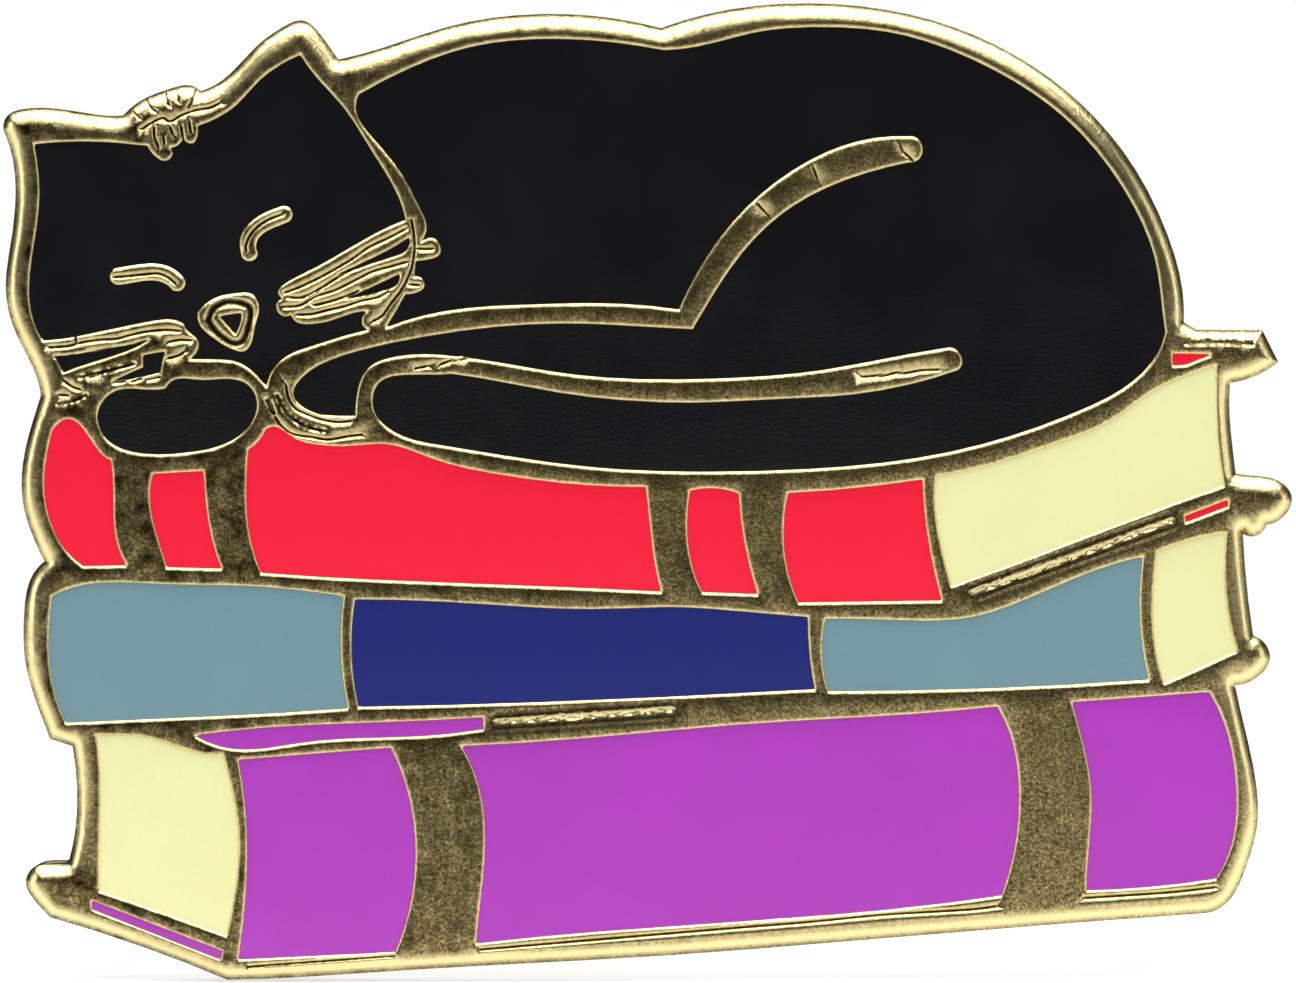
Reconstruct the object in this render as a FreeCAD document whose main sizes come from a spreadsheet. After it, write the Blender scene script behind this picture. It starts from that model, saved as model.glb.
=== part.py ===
"""Enamel pin of a black cat asleep on three stacked books.

Millimetres. The pin stands upright as it is worn: its face looks along -Y, its back
lies in the plane y = 0, +X is to the right of somebody looking at the face and +Z is
up. The origin is the middle of the back.

Pieces: one die-struck metal base with sunk cells, a fill of hard enamel for each
cell, and on the back two soldered posts, each with its own butterfly clutch.
"""

import FreeCAD, Part
import math
import os

import Sketcher

V = FreeCAD.Vector

doc = FreeCAD.newDocument("cat_on_books_pin")

# ---------------------------------------------------------------- sizes

SIZES = {
    # base and enamel
    "base_thickness": 1.6,
    "cell_depth": 0.6,
    "enamel_below_metal": 0.06,
    "groove_depth": 0.15,
    "seat_depth": 0.15,
    "seat_radius": 2.45,
    # posts
    "post_offset": 8.0,
    "post_length": 8.0,
    "post_pad_radius": 2.0,
    "post_pad_thickness": 0.35,
    "post_radius": 0.55,
    "post_straight_end": 3.25,
    "post_neck_radius": 0.5,
    "notch_height": 6.4,
    "notch_half_width": 0.4,
    "notch_radius": 0.36,
    "solder_radius": 2.4,
    "solder_height": 0.2,
    # clutches
    "cloth_gap": 3.4,
    "disc_radius": 5.7,
    "disc_sheet": 0.35,
    "disc_rim_height": 0.95,
    "disc_roll_width": 0.34,
    "clutch_hole_radius": 0.75,
    "lip_inner_radius": 3.35,
    "lip_outer_radius": 3.95,
    "lip_sheet": 0.24,
    "flange_radius": 3.6,
    "flange_sheet": 0.3,
    "flange_clearance": 0.05,
    "swivel_gap": 0.03,
    "cage_half_length": 1.6,
    "cage_half_gap": 1.45,
    "cage_top": 4.9,
    "clip_sheet": 0.25,
    "clip_width": 2.6,
    "clip_half_length": 2.2,
    "clip_bottom": 0.7,
    "low_curl_radius": 0.735,
    "high_curl_radius": 1.235,
    "leaf_tilt": 8.0,
    "leaf_hole_radius": 0.65,
    "leaf_gap": 0.05,
    "wing_width": 3.6,
    "wing_bend": 3.9,
    "wing_start": 4.7,
    "wing_reach": 5.65,
    "wing_top": 4.45,
    "wing_corner": 1.0,
    "window_width": 1.9,
    "window_bottom": 1.15,
    "window_top": 2.75,
    "neck_width": 1.5,
    "neck_start": 2.15,
    "neck_end": 3.75,
    "sheet_bend_radius": 0.45,
}

sheet = doc.addObject("Spreadsheet::Sheet", "sizes")
for row, (name, value) in enumerate(SIZES.items(), start=1):
    sheet.set("A%d" % row, name)
    sheet.set("B%d" % row, str(value))
    sheet.setAlias("B%d" % row, name)
doc.recompute()


def size(name):
    """Value of one named cell of the sheet."""
    return float(sheet.get(name))


# ---------------------------------------------------------------- outlines
# An outline is a list of runs of (x, z) points. Each run starts where the last one
# ended. A run of one step is a straight line, a longer one is a smooth curve. Where the
# outline opens with a straight line its first run is that corner alone.

SILHOUETTE = [
    # ear on the left, its tip first
    [(-16.15, 9.05), (-16.03, 9.43), (-15.5, 9.6), (-14.5, 9.55), (-13.15, 9.42)],
    # tuft of hair between the ears
    [(-12.5, 9.9), (-12.0, 10.08), (-11.5, 10.18), (-11.2, 10.03)],
    # ear on the right
    [(-10.6, 10.35), (-9.7, 11.25), (-9.2, 11.6), (-8.65, 11.8), (-8.2, 11.45), (-7.75, 10.82)],
    # shoulder, then haunch down to the top book
    [(-6.5, 11.16), (-4.94, 11.66), (-2.77, 11.96), (-1.13, 11.89), (0.33, 11.61)],
    [(2.02, 12.07), (4.08, 12.23), (6.77, 11.9), (9.79, 10.56), (11.95, 8.46),
     (12.98, 6.52), (13.38, 5.1), (13.42, 4.24)],
    # top cover of the red book
    [(13.76, 4.05)],
    [(15.39, 4.04)],
    [(15.79, 3.24)],
    [(15.3, 2.93), (14.93, 2.79), (14.58, 2.72)],
    # its pages, then its lower cover
    [(14.56, 2.15), (14.62, 1.3), (14.72, 0.45)],
    [(15.28, 0.39), (15.8, 0.27), (16.13, -0.15), (15.95, -0.6), (15.49, -0.83)],
    [(15.23, -1.11), (15.02, -1.11), (14.9, -0.99)],
    # pages and lower cover of the blue book
    [(14.98, -2.16), (15.16, -3.61)],
    [(15.5, -3.87), (15.58, -4.2), (15.41, -4.52), (14.71, -4.86)],
    # spine of the purple book
    [(14.94, -5.87), (15.23, -7.25), (15.26, -8.41), (14.97, -9.45), (14.54, -10.27),
     (14.03, -10.56)],
    # bottom edge
    [(10.62, -10.81)],
    [(6.28, -11.16), (0.18, -11.64), (-6.2, -12.0), (-9.7, -12.21), (-10.54, -12.23)],
    [(-12.37, -11.51), (-14.98, -10.67)],
    # rounded end of the purple book's lower cover
    [(-15.4, -10.21), (-15.59, -9.75), (-15.38, -9.4), (-14.95, -9.31), (-14.52, -9.29)],
    # pages of the purple book, spine of the blue one, spine of the red one
    [(-14.33, -8.3), (-14.31, -7.33), (-14.42, -6.38)],
    [(-14.98, -6.2)],
    [(-15.28, -5.42), (-15.6, -4.27), (-15.63, -3.05), (-15.44, -2.13), (-15.12, -1.75)],
    [(-15.46, -1.0), (-15.67, -0.2), (-15.66, 0.7), (-15.4, 1.8), (-15.21, 2.4)],
    # cheek and back of the ear
    [(-15.36, 3.0), (-15.85, 4.0), (-16.09, 5.1), (-15.95, 6.3), (-15.84, 7.5), (-15.95, 8.5),
     (-16.15, 9.05)],
]

HEAD = [
    [(-15.34, 8.68), (-14.06, 8.75), (-12.77, 8.66)],
    # three hairs of the tuft
    [(-12.52, 8.64)],
    [(-12.24, 8.31), (-12.06, 8.26), (-11.9, 8.38), (-11.95, 8.6)],
    [(-11.79, 8.63), (-11.67, 8.74), (-11.62, 8.93)],
    [(-11.55, 8.73), (-11.38, 8.7), (-11.27, 8.86), (-11.26, 9.14)],
    # inside of the ear on the right, then down the cheek
    [(-10.8, 9.32), (-10.27, 9.68), (-9.77, 10.22), (-9.2, 10.66), (-8.7, 10.91)],
    [(-8.27, 10.32), (-7.63, 9.61), (-6.91, 8.5), (-6.31, 7.5), (-6.07, 6.8)],
    # ends of the three whiskers on the right
    [(-6.79, 6.48), (-7.68, 5.97), (-8.57, 5.48), (-9.1, 5.2), (-9.27, 5.02), (-9.16, 4.83)],
    [(-9.31, 4.68), (-9.27, 4.49), (-8.93, 4.41)],
    [(-8.8, 4.23), (-8.4, 4.18), (-7.91, 4.27), (-7.46, 4.43), (-7.03, 4.5)],
    # foot of the cheek, then the top of the foreleg
    [(-7.16, 4.34), (-7.15, 4.16), (-7.01, 4.05)],
    [(-7.74, 3.86), (-8.48, 3.62), (-9.0, 3.42), (-9.38, 3.08), (-9.54, 2.64)],
    # over the paw
    [(-9.8, 2.93), (-10.2, 3.22), (-10.7, 3.31), (-11.45, 3.32)],
    # ends and top of the whiskers on the left
    [(-11.27, 3.5), (-11.24, 3.78), (-11.45, 3.97), (-11.59, 4.18)],
    [(-11.75, 4.27), (-12.4, 4.27), (-13.49, 4.05), (-14.3, 3.88), (-15.12, 3.78)],
    # inside of the rim
    [(-15.42, 4.5), (-15.45, 5.5), (-15.27, 6.7), (-15.21, 7.5), (-15.25, 8.1), (-15.34, 8.68)],
]

NOSE_PAD = [
    [(-11.27, 4.47), (-10.77, 4.86), (-10.27, 4.96), (-9.88, 4.92), (-9.73, 4.6), (-9.84, 4.11),
     (-9.93, 3.7), (-10.1, 3.51), (-10.4, 3.56), (-10.84, 3.82), (-11.2, 4.15), (-11.27, 4.47)],
]

NOSE = [
    [(-10.7, 4.38)],
    [(-10.17, 4.46)],
    [(-10.21, 4.2), (-10.32, 3.94)],
    [(-10.7, 4.38)],
]

WHISKER_GAP_RIGHT_UPPER = [
    [(-7.75, 5.41), (-7.24, 5.66), (-6.57, 5.99), (-5.97, 6.35)],
    [(-6.01, 6.1), (-6.17, 5.95)],
    [(-6.79, 5.75), (-7.33, 5.57), (-7.75, 5.41)],
]

WHISKER_GAP_RIGHT_LOWER = [
    [(-7.55, 4.83), (-7.01, 5.06), (-6.21, 5.44)],
    [(-6.28, 5.2), (-6.48, 5.07)],
    [(-7.01, 4.92), (-7.55, 4.83)],
]

WHISKER_GAP_LEFT_UPPER = [
    [(-14.8, 3.35), (-14.1, 3.44), (-13.2, 3.6), (-12.5, 3.79)],
    [(-13.2, 3.46), (-13.9, 3.24), (-14.62, 2.98)],
    [(-14.8, 3.35)],
]

WHISKER_GAP_LEFT_LOWER = [
    [(-12.62, 3.4)],
    [(-12.08, 3.5)],
    [(-12.16, 3.25), (-12.2, 2.98)],
    [(-12.8, 2.84), (-13.35, 2.76)],
    [(-12.9, 2.98), (-12.62, 3.1)],
    [(-12.62, 3.4)],
]

PAW = [
    [(-13.75, 1.75), (-13.68, 2.17), (-13.3, 2.51), (-12.7, 2.55), (-12.06, 2.57)],
    [(-11.88, 2.77), (-11.2, 2.78), (-10.5, 2.81), (-9.99, 2.64), (-9.79, 2.2), (-9.99, 1.64),
     (-10.63, 1.18), (-11.63, 0.97), (-12.7, 0.96), (-13.4, 1.2), (-13.75, 1.75)],
]

BODY = [
    # top of the shoulder and haunch, down to the top book
    [(-7.22, 9.93), (-6.03, 10.55), (-4.4, 11.12), (-2.77, 11.31), (-0.81, 11.22), (0.4, 11.03)],
    [(1.37, 11.15), (2.7, 11.48), (4.3, 11.61), (6.04, 11.48), (8.24, 10.74), (10.45, 9.31),
     (11.99, 7.4), (12.7, 5.7), (12.85, 4.6), (12.93, 3.98)],
    # underside, along the top cover of the red book
    [(12.69, 3.39), (11.99, 2.66), (10.89, 2.07), (8.8, 1.31), (7.01, 0.89), (4.21, 0.58),
     (1.27, 0.5), (-1.13, 0.59), (-3.7, 0.92), (-5.17, 1.16), (-6.42, 1.54), (-6.86, 2.1),
     (-6.75, 2.68), (-6.05, 2.91), (-4.95, 2.94)],
    # line of the tail: out along its lower side, back along its upper side
    [(-3.7, 2.74), (-2.01, 2.43), (-0.39, 2.26), (0.9, 2.21), (3.11, 2.3), (4.95, 2.4),
     (6.79, 2.73), (7.74, 3.02)],
    [(7.87, 3.22), (7.8, 3.47), (7.52, 3.61)],
    [(6.05, 3.35), (4.21, 3.02), (2.01, 2.84), (-0.02, 2.81), (-2.01, 2.95), (-4.07, 3.29),
     (-5.24, 3.43), (-6.42, 3.36), (-7.01, 3.09), (-7.27, 2.54), (-7.33, 1.9)],
    # foreleg, round its end and back along the top
    [(-7.96, 1.91), (-8.6, 2.1), (-8.86, 2.46), (-8.66, 2.83), (-8.04, 3.24), (-7.01, 3.57),
     (-5.39, 3.9), (-3.7, 4.12), (-1.7, 4.19), (0.3, 4.09), (1.12, 4.05)],
    # crease of the thigh
    [(1.56, 4.79), (2.45, 6.07), (3.48, 7.03), (4.8, 7.73), (6.56, 8.23)],
    [(6.85, 8.4), (6.86, 8.68), (6.49, 8.89)],
    [(4.95, 8.68), (3.48, 7.95), (2.01, 6.63), (1.2, 5.45), (0.76, 4.56)],
    [(-0.9, 4.71), (-2.8, 4.69), (-4.8, 4.56), (-6.53, 4.12)],
    # edge of the cheek with its two hairs
    [(-6.34, 4.43), (-6.06, 4.93)],
    [(-5.8, 4.96), (-5.58, 5.13), (-5.63, 5.32), (-5.84, 5.38)],
    [(-5.81, 5.76)],
    [(-5.45, 5.8), (-5.19, 5.95), (-5.22, 6.22), (-5.66, 6.26)],
    [(-5.53, 6.66), (-5.72, 7.15), (-6.12, 7.91), (-6.91, 8.89), (-7.3, 9.6), (-7.22, 9.93)],
]

RED_SPINE_END = [
    [(-14.88, 1.54), (-14.41, 1.79), (-14.02, 1.4), (-13.45, 0.79)],
    [(-13.39, 0.2), (-13.38, -0.68), (-13.06, -1.84)],
    [(-14.13, -1.86)],
    [(-14.77, -1.14), (-15.08, -0.1), (-15.05, 0.8), (-14.88, 1.54)],
]

RED_BAND_LEFT = [
    [(-12.38, 0.43)],
    [(-11.13, 0.5)],
    [(-11.07, -0.3), (-10.92, -1.2), (-10.68, -1.92)],
    [(-12.02, -1.89)],
    [(-12.3, -1.0), (-12.45, -0.2), (-12.38, 0.43)],
]

RED_TITLE_PANEL = [
    [(-9.99, 1.04), (-9.72, 1.27), (-9.56, 1.54)],
    [(-9.3, 1.61), (-8.9, 1.36), (-8.2, 1.15), (-7.4, 1.13), (-6.6, 1.18), (-5.39, 0.81),
     (-3.7, 0.41), (-1.94, 0.18), (-0.06, 0.1)],
    [(0.01, -0.57), (0.11, -1.51), (0.32, -2.5)],
    [(-3.01, -2.35), (-6.2, -2.23), (-9.66, -2.03)],
    [(-9.93, -1.2), (-10.04, -0.2), (-9.99, 1.04)],
]

RED_BAND_RIGHT = [
    [(1.06, 0.01), (1.68, 0.07), (2.26, -0.06)],
    [(2.31, -0.68), (2.47, -1.62), (2.73, -2.56)],
    [(1.37, -2.51)],
    [(1.11, -1.83), (0.99, -0.9), (1.06, 0.01)],
]

RED_COVER_END = [
    [(3.51, -0.05)],
    [(5.03, 0.06), (6.86, 0.29)],
    [(6.91, -0.57), (7.07, -1.62), (7.33, -2.72)],
    [(3.78, -2.77)],
    [(3.52, -2.04), (3.4, -1.09), (3.51, -0.05)],
]

RED_TOP_EDGE = [
    [(13.13, 3.44)],
    [(14.05, 3.42)],
    [(13.46, 3.18)],
    [(13.13, 3.16)],
    [(13.13, 3.44)],
]

RED_LOWER_EDGE = [
    [(13.45, -0.62)],
    [(14.5, -0.22)],
    [(14.5, -0.36)],
    [(13.45, -0.76)],
    [(13.45, -0.62)],
]

CREAM_TOP_PAGES = [
    [(7.23, 0.37), (8.69, 0.69), (10.26, 1.21), (11.62, 1.78), (12.56, 2.46), (13.19, 2.78),
     (14.18, 3.14)],
    [(14.2, 2.15), (14.25, 1.1), (14.39, 0.16)],
    [(11.31, -0.97), (9.22, -1.77), (7.59, -2.35)],
    [(7.35, -1.4), (7.2, -0.4), (7.23, 0.37)],
]

CREAM_MIDDLE_PAGES = [
    [(12.74, -1.53), (13.4, -1.27), (14.44, -1.06)],
    [(14.4, -2.3), (14.5, -3.2), (14.7, -3.98)],
    [(14.25, -4.19), (12.91, -4.78)],
    [(12.7, -3.9), (12.64, -2.67), (12.74, -1.53)],
]

CREAM_BOTTOM_PAGES = [
    [(-13.79, -6.1)],
    [(-12.83, -6.11)],
    [(-11.92, -6.34), (-11.2, -6.56), (-10.65, -6.57)],
    [(-10.4, -7.6), (-10.25, -8.87), (-10.33, -9.9), (-10.55, -11.09)],
    [(-12.1, -10.53), (-13.71, -9.98)],
    [(-13.71, -8.87), (-13.68, -7.5), (-13.79, -6.1)],
]

BLUE_SPINE_LEFT = [
    [(-14.9, -2.63), (-14.35, -2.4), (-12.37, -2.32), (-9.9, -2.38), (-7.63, -2.63)],
    [(-7.7, -3.97), (-7.52, -5.42)],
    [(-9.31, -5.54), (-11.61, -5.65), (-14.55, -5.78)],
    [(-14.79, -5.19), (-14.98, -3.9), (-14.9, -2.63)],
]

NAVY_TITLE_PANEL = [
    [(-7.32, -2.71)],
    [(-4.2, -2.82), (-1.1, -2.95), (0.6, -2.9), (2.0, -2.98), (3.99, -3.15)],
    [(4.0, -3.71), (4.16, -4.94)],
    [(-0.62, -5.18), (-3.81, -5.3), (-7.23, -5.38)],
    [(-7.4, -4.12), (-7.32, -2.71)],
]

BLUE_SPINE_RIGHT = [
    [(4.44, -3.2), (6.26, -3.23), (8.07, -3.16), (9.89, -2.52), (12.36, -1.65)],
    [(12.28, -2.8), (12.33, -3.7), (12.51, -4.7)],
    [(11.34, -4.78), (8.44, -4.92), (4.52, -4.99)],
    [(4.36, -3.9), (4.44, -3.2)],
]

PURPLE_SPINE_LEFT = [
    [(-10.23, -6.72)],
    [(-6.44, -6.42)],
    [(-6.1, -7.25), (-5.85, -8.5), (-5.87, -9.8), (-6.33, -11.51)],
    [(-10.23, -11.7)],
    [(-10.06, -10.2), (-10.02, -8.56), (-10.23, -6.72)],
]

PURPLE_TITLE_PANEL = [
    [(-4.65, -6.38)],
    [(-0.62, -6.1), (2.57, -5.82), (6.3, -5.6), (8.73, -5.39)],
    [(9.1, -6.25), (9.27, -7.6), (9.16, -8.92), (8.83, -10.1)],
    [(6.3, -10.42), (0.98, -10.84), (-4.29, -11.3)],
    [(-4.14, -9.9), (-4.06, -8.49), (-4.65, -6.38)],
]

PURPLE_SPINE_RIGHT = [
    [(10.62, -5.28), (12.07, -5.17), (14.03, -5.03)],
    [(14.45, -5.95), (14.7, -7.4), (14.58, -8.85), (14.18, -9.68)],
    [(12.6, -9.88), (10.98, -9.97)],
    [(11.05, -8.77), (11.1, -7.4), (10.94, -6.45), (10.62, -5.28)],
]

PURPLE_TOP_EDGE = [
    [(-11.3, -6.11), (-9.7, -5.93), (-6.25, -5.77), (-4.13, -5.66)],
    [(-4.13, -5.94)],
    [(-5.49, -6.1), (-8.55, -6.26), (-10.46, -6.42), (-11.3, -6.11)],
]

PURPLE_LOWER_EDGE = [
    [(-13.9, -10.25)],
    [(-10.66, -11.5)],
    [(-10.7, -11.7)],
    [(-13.9, -10.44)],
    [(-13.9, -10.25)],
]

# Eyes: closed lids of bare metal, as centre line and width of a round-ended stroke.
EYE_LEFT = ([(-13.25, 5.38), (-12.7, 5.47), (-12.2, 5.47), (-11.78, 5.22)], 0.42)
EYE_RIGHT = ([(-9.1, 6.93), (-9.6, 6.72), (-9.95, 6.4), (-9.97, 5.97)], 0.42)

# Fine grooves struck in the bare metal and left unfilled, as strokes too.
GROOVES = [
    # lower cover of the red book
    ([(8.1, -2.52), (9.5, -2.05), (11.0, -1.5), (13.1, -0.72)], 0.14),
    # top cover of the red book
    ([(13.45, 3.72), (14.4, 3.74), (15.1, 3.7)], 0.14),
    # seam of the purple book's top cover, right of its enamelled part
    ([(-3.8, -5.76), (-2.0, -5.65), (0.6, -5.45)], 0.14),
    # toes between the paw and the foreleg
    ([(-9.28, 2.42), (-8.98, 1.92), (-8.1, 1.52)], 0.12),
    ([(-9.55, 2.3), (-9.35, 1.95)], 0.12),
    # whiskers on the left that stay bare
    ([(-14.2, 2.86), (-13.5, 3.02), (-12.85, 3.2)], 0.12),
    ([(-14.75, 2.2), (-14.3, 2.3), (-14.05, 2.42)], 0.12),
]

# Name of each enamel fill, its outline, and the islands of metal inside it.
CELLS = [
    ("enamel_black_head", HEAD, [EYE_LEFT, EYE_RIGHT, NOSE_PAD]),
    ("enamel_black_nose", NOSE, []),
    ("enamel_black_whisker_right_upper", WHISKER_GAP_RIGHT_UPPER, []),
    ("enamel_black_whisker_right_lower", WHISKER_GAP_RIGHT_LOWER, []),
    ("enamel_black_whisker_left_upper", WHISKER_GAP_LEFT_UPPER, []),
    ("enamel_black_whisker_left_lower", WHISKER_GAP_LEFT_LOWER, []),
    ("enamel_black_paw", PAW, []),
    ("enamel_black_body", BODY, []),
    ("enamel_red_spine_end", RED_SPINE_END, []),
    ("enamel_red_band_left", RED_BAND_LEFT, []),
    ("enamel_red_title_panel", RED_TITLE_PANEL, []),
    ("enamel_red_band_right", RED_BAND_RIGHT, []),
    ("enamel_red_cover_end", RED_COVER_END, []),
    ("enamel_red_top_edge", RED_TOP_EDGE, []),
    ("enamel_red_lower_edge", RED_LOWER_EDGE, []),
    ("enamel_cream_top_pages", CREAM_TOP_PAGES, []),
    ("enamel_cream_middle_pages", CREAM_MIDDLE_PAGES, []),
    ("enamel_cream_bottom_pages", CREAM_BOTTOM_PAGES, []),
    ("enamel_blue_spine_left", BLUE_SPINE_LEFT, []),
    ("enamel_navy_title_panel", NAVY_TITLE_PANEL, []),
    ("enamel_blue_spine_right", BLUE_SPINE_RIGHT, []),
    ("enamel_purple_spine_left", PURPLE_SPINE_LEFT, []),
    ("enamel_purple_title_panel", PURPLE_TITLE_PANEL, []),
    ("enamel_purple_spine_right", PURPLE_SPINE_RIGHT, []),
    ("enamel_purple_top_edge", PURPLE_TOP_EDGE, []),
    ("enamel_purple_lower_edge", PURPLE_LOWER_EDGE, []),
]


# ---------------------------------------------------------------- curves

def smooth_curve(points):
    """Curve through two or more sketch points."""
    vectors = [V(x, y, 0) for x, y in points]
    if len(vectors) == 2:
        return Part.LineSegment(vectors[0], vectors[1])
    curve = Part.BSplineCurve()
    curve.interpolate(vectors)
    return curve


def outline_curves(runs):
    """Closed loop of curves from the runs of an outline."""
    curves = []
    last = runs[0][0]
    for index, run in enumerate(runs):
        points = run if index == 0 else [last] + run
        if len(points) > 1:
            curves.append(smooth_curve(points))
        last = points[-1]
    return curves


def stroke_curves(stroke):
    """Closed loop round a centre line, with half-round ends."""
    points, width = stroke
    half = width / 2
    left = []
    right = []
    for index, (x, y) in enumerate(points):
        before = points[max(index - 1, 0)]
        after = points[min(index + 1, len(points) - 1)]
        along = math.hypot(after[0] - before[0], after[1] - before[1])
        nx = -(after[1] - before[1]) / along
        ny = (after[0] - before[0]) / along
        left.append((x + nx * half, y + ny * half))
        right.append((x - nx * half, y - ny * half))
    curves = [smooth_curve(left)]
    for end, other, first, second in (
            (points[-1], points[-2], left[-1], right[-1]),
            (points[0], points[1], right[0], left[0])):
        # the far point of the cap lies square across from the two sides
        ux = (first[1] - second[1]) / width
        uy = -(first[0] - second[0]) / width
        if (end[0] - other[0]) * ux + (end[1] - other[1]) * uy < 0:
            ux, uy = -ux, -uy
        tip = V(end[0] + ux * half, end[1] + uy * half, 0)
        curves.append(Part.Arc(V(*first, 0), tip, V(*second, 0)))
    curves.insert(2, smooth_curve(right[::-1]))
    return curves


def island_curves(island):
    """Loop of an island, given as an outline or as a stroke."""
    if isinstance(island, tuple):
        return stroke_curves(island)
    return outline_curves(island)


def polygon_curves(points):
    """Closed loop of straight lines."""
    return outline_curves([[points[0], points[1]]] + [[p] for p in points[2:]] + [[points[0]]])


# ---------------------------------------------------------------- building blocks

def add_body(name, x=0.0, y=0.0):
    """Empty body, placed off the origin by x along the pin and y behind it."""
    body = doc.addObject("PartDesign::Body", name)
    body.Label = name
    body.Placement = FreeCAD.Placement(V(x, y, 0), FreeCAD.Rotation())
    return body


def add_sketch(body, plane, curves, offset=None):
    """Sketch on one of the body's own planes, moved along its normal by an expression."""
    sketch = body.newObject("Sketcher::SketchObject", body.Name + "_sketch")
    origin_plane = [f for f in body.Origin.OriginFeatures if f.Role == plane][0]
    sketch.AttachmentSupport = [(origin_plane, "")]
    sketch.MapMode = "FlatFace"
    if offset is not None:
        sketch.setExpression(".AttachmentOffset.Base.z", offset)
    sketch.addGeometry(curves, False)
    return sketch


def add_pad(body, sketch, length, both_ways=False):
    """Pad the sketch by an expression."""
    pad = body.newObject("PartDesign::Pad", body.Name + "_pad")
    pad.Profile = sketch
    pad.setExpression("Length", length)
    if both_ways:
        pad.Midplane = True
    doc.recompute()
    return pad


def add_pocket(body, sketch, depth=None, backwards=False):
    """Cut the sketch into the body, through all of it if no depth is given."""
    volume = body.Shape.Volume
    pocket = body.newObject("PartDesign::Pocket", body.Name + "_pocket")
    pocket.Profile = sketch
    if depth is None:
        pocket.Type = "ThroughAll"
    else:
        pocket.setExpression("Length", depth)
    pocket.Reversed = backwards
    doc.recompute()
    if not body.Shape.Volume < volume - 1e-4:
        raise ValueError("cut removes nothing: " + pocket.Name)
    return pocket


def add_turned(body, curves):
    """Turn a profile in the XY plane about the body's own Y axis."""
    sketch = add_sketch(body, "XY_Plane", curves)
    turned = body.newObject("PartDesign::Revolution", body.Name + "_turned")
    turned.Profile = sketch
    turned.ReferenceAxis = (sketch, ["V_Axis"])
    turned.Angle = 360.0
    doc.recompute()
    return turned


def circle(x, y, radius):
    """Circle in sketch coordinates."""
    return Part.Circle(V(x, y, 0), V(0, 0, 1), radius)


# ---------------------------------------------------------------- base

base = add_body("die_struck_base")
add_pad(base, add_sketch(base, "XZ_Plane", outline_curves(SILHOUETTE)), "sizes.base_thickness")

cell_loops = []
for name, outline, islands in CELLS:
    cell_loops += outline_curves(outline)
    for island in islands:
        cell_loops += island_curves(island)
add_pocket(base, add_sketch(base, "XZ_Plane", cell_loops, "sizes.base_thickness"),
           "sizes.cell_depth")

groove_loops = []
for stroke in GROOVES:
    groove_loops += stroke_curves(stroke)
add_pocket(base, add_sketch(base, "XZ_Plane", groove_loops, "sizes.base_thickness"),
           "sizes.groove_depth")

seat_loops = [circle(side * size("post_offset"), 0, size("seat_radius")) for side in (-1, 1)]
add_pocket(base, add_sketch(base, "XZ_Plane", seat_loops), "sizes.seat_depth", backwards=True)

# ---------------------------------------------------------------- enamel

for name, outline, islands in CELLS:
    fill = add_body(name)
    loops = outline_curves(outline)
    for island in islands:
        loops += island_curves(island)
    fill_sketch = add_sketch(fill, "XZ_Plane", loops, "sizes.base_thickness - sizes.cell_depth")
    add_pad(fill, fill_sketch, "sizes.cell_depth - sizes.enamel_below_metal")


# ---------------------------------------------------------------- posts

def build_post(name, x):
    """Nail-like post: flat pad, straight shank, grip notch near the tip."""
    r = size("post_radius")
    neck = size("post_neck_radius")
    pad_bottom = -size("seat_depth")
    pad_top = pad_bottom + size("post_pad_thickness")
    notch = size("notch_height")
    half = size("notch_half_width")
    tip = size("post_length")
    fillet = 0.12
    flat = 0.1
    shoulder = neck - 0.04
    post = add_body(name, x)
    profile = outline_curves([
        [(0, pad_bottom), (size("post_pad_radius"), pad_bottom)],
        [(size("post_pad_radius"), pad_top)],
        [(r + fillet, pad_top)],
        [(r, pad_top + fillet)],
        [(r, size("post_straight_end"))],
        [(neck, notch - half)],
        [(size("notch_radius"), notch - flat)],
        [(size("notch_radius"), notch + flat)],
        [(neck, notch + half)],
        [(shoulder, notch + half + 0.2)],
        [(0.14, tip - 0.12)],
        [(0.05, tip)],
        [(0, tip)],
        [(0, pad_bottom)],
    ])
    add_turned(post, profile)


def build_solder(name, x):
    """Fillet of solder round the pad of a post, in the seat on the back."""
    ring = add_body(name, x)
    floor = -size("seat_depth")
    pad = size("post_pad_radius")
    profile = outline_curves([
        [(pad, floor), (size("solder_radius"), floor)],
        [(size("solder_radius"), floor + 0.05)],
        [(pad + 0.12, floor + 0.12)],
        [(pad, floor + size("solder_height"))],
        [(pad, floor)],
    ])
    add_turned(ring, profile)


# ---------------------------------------------------------------- clutches
# Inside a clutch y runs from the face that touches the cloth to the wing tips.

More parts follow.
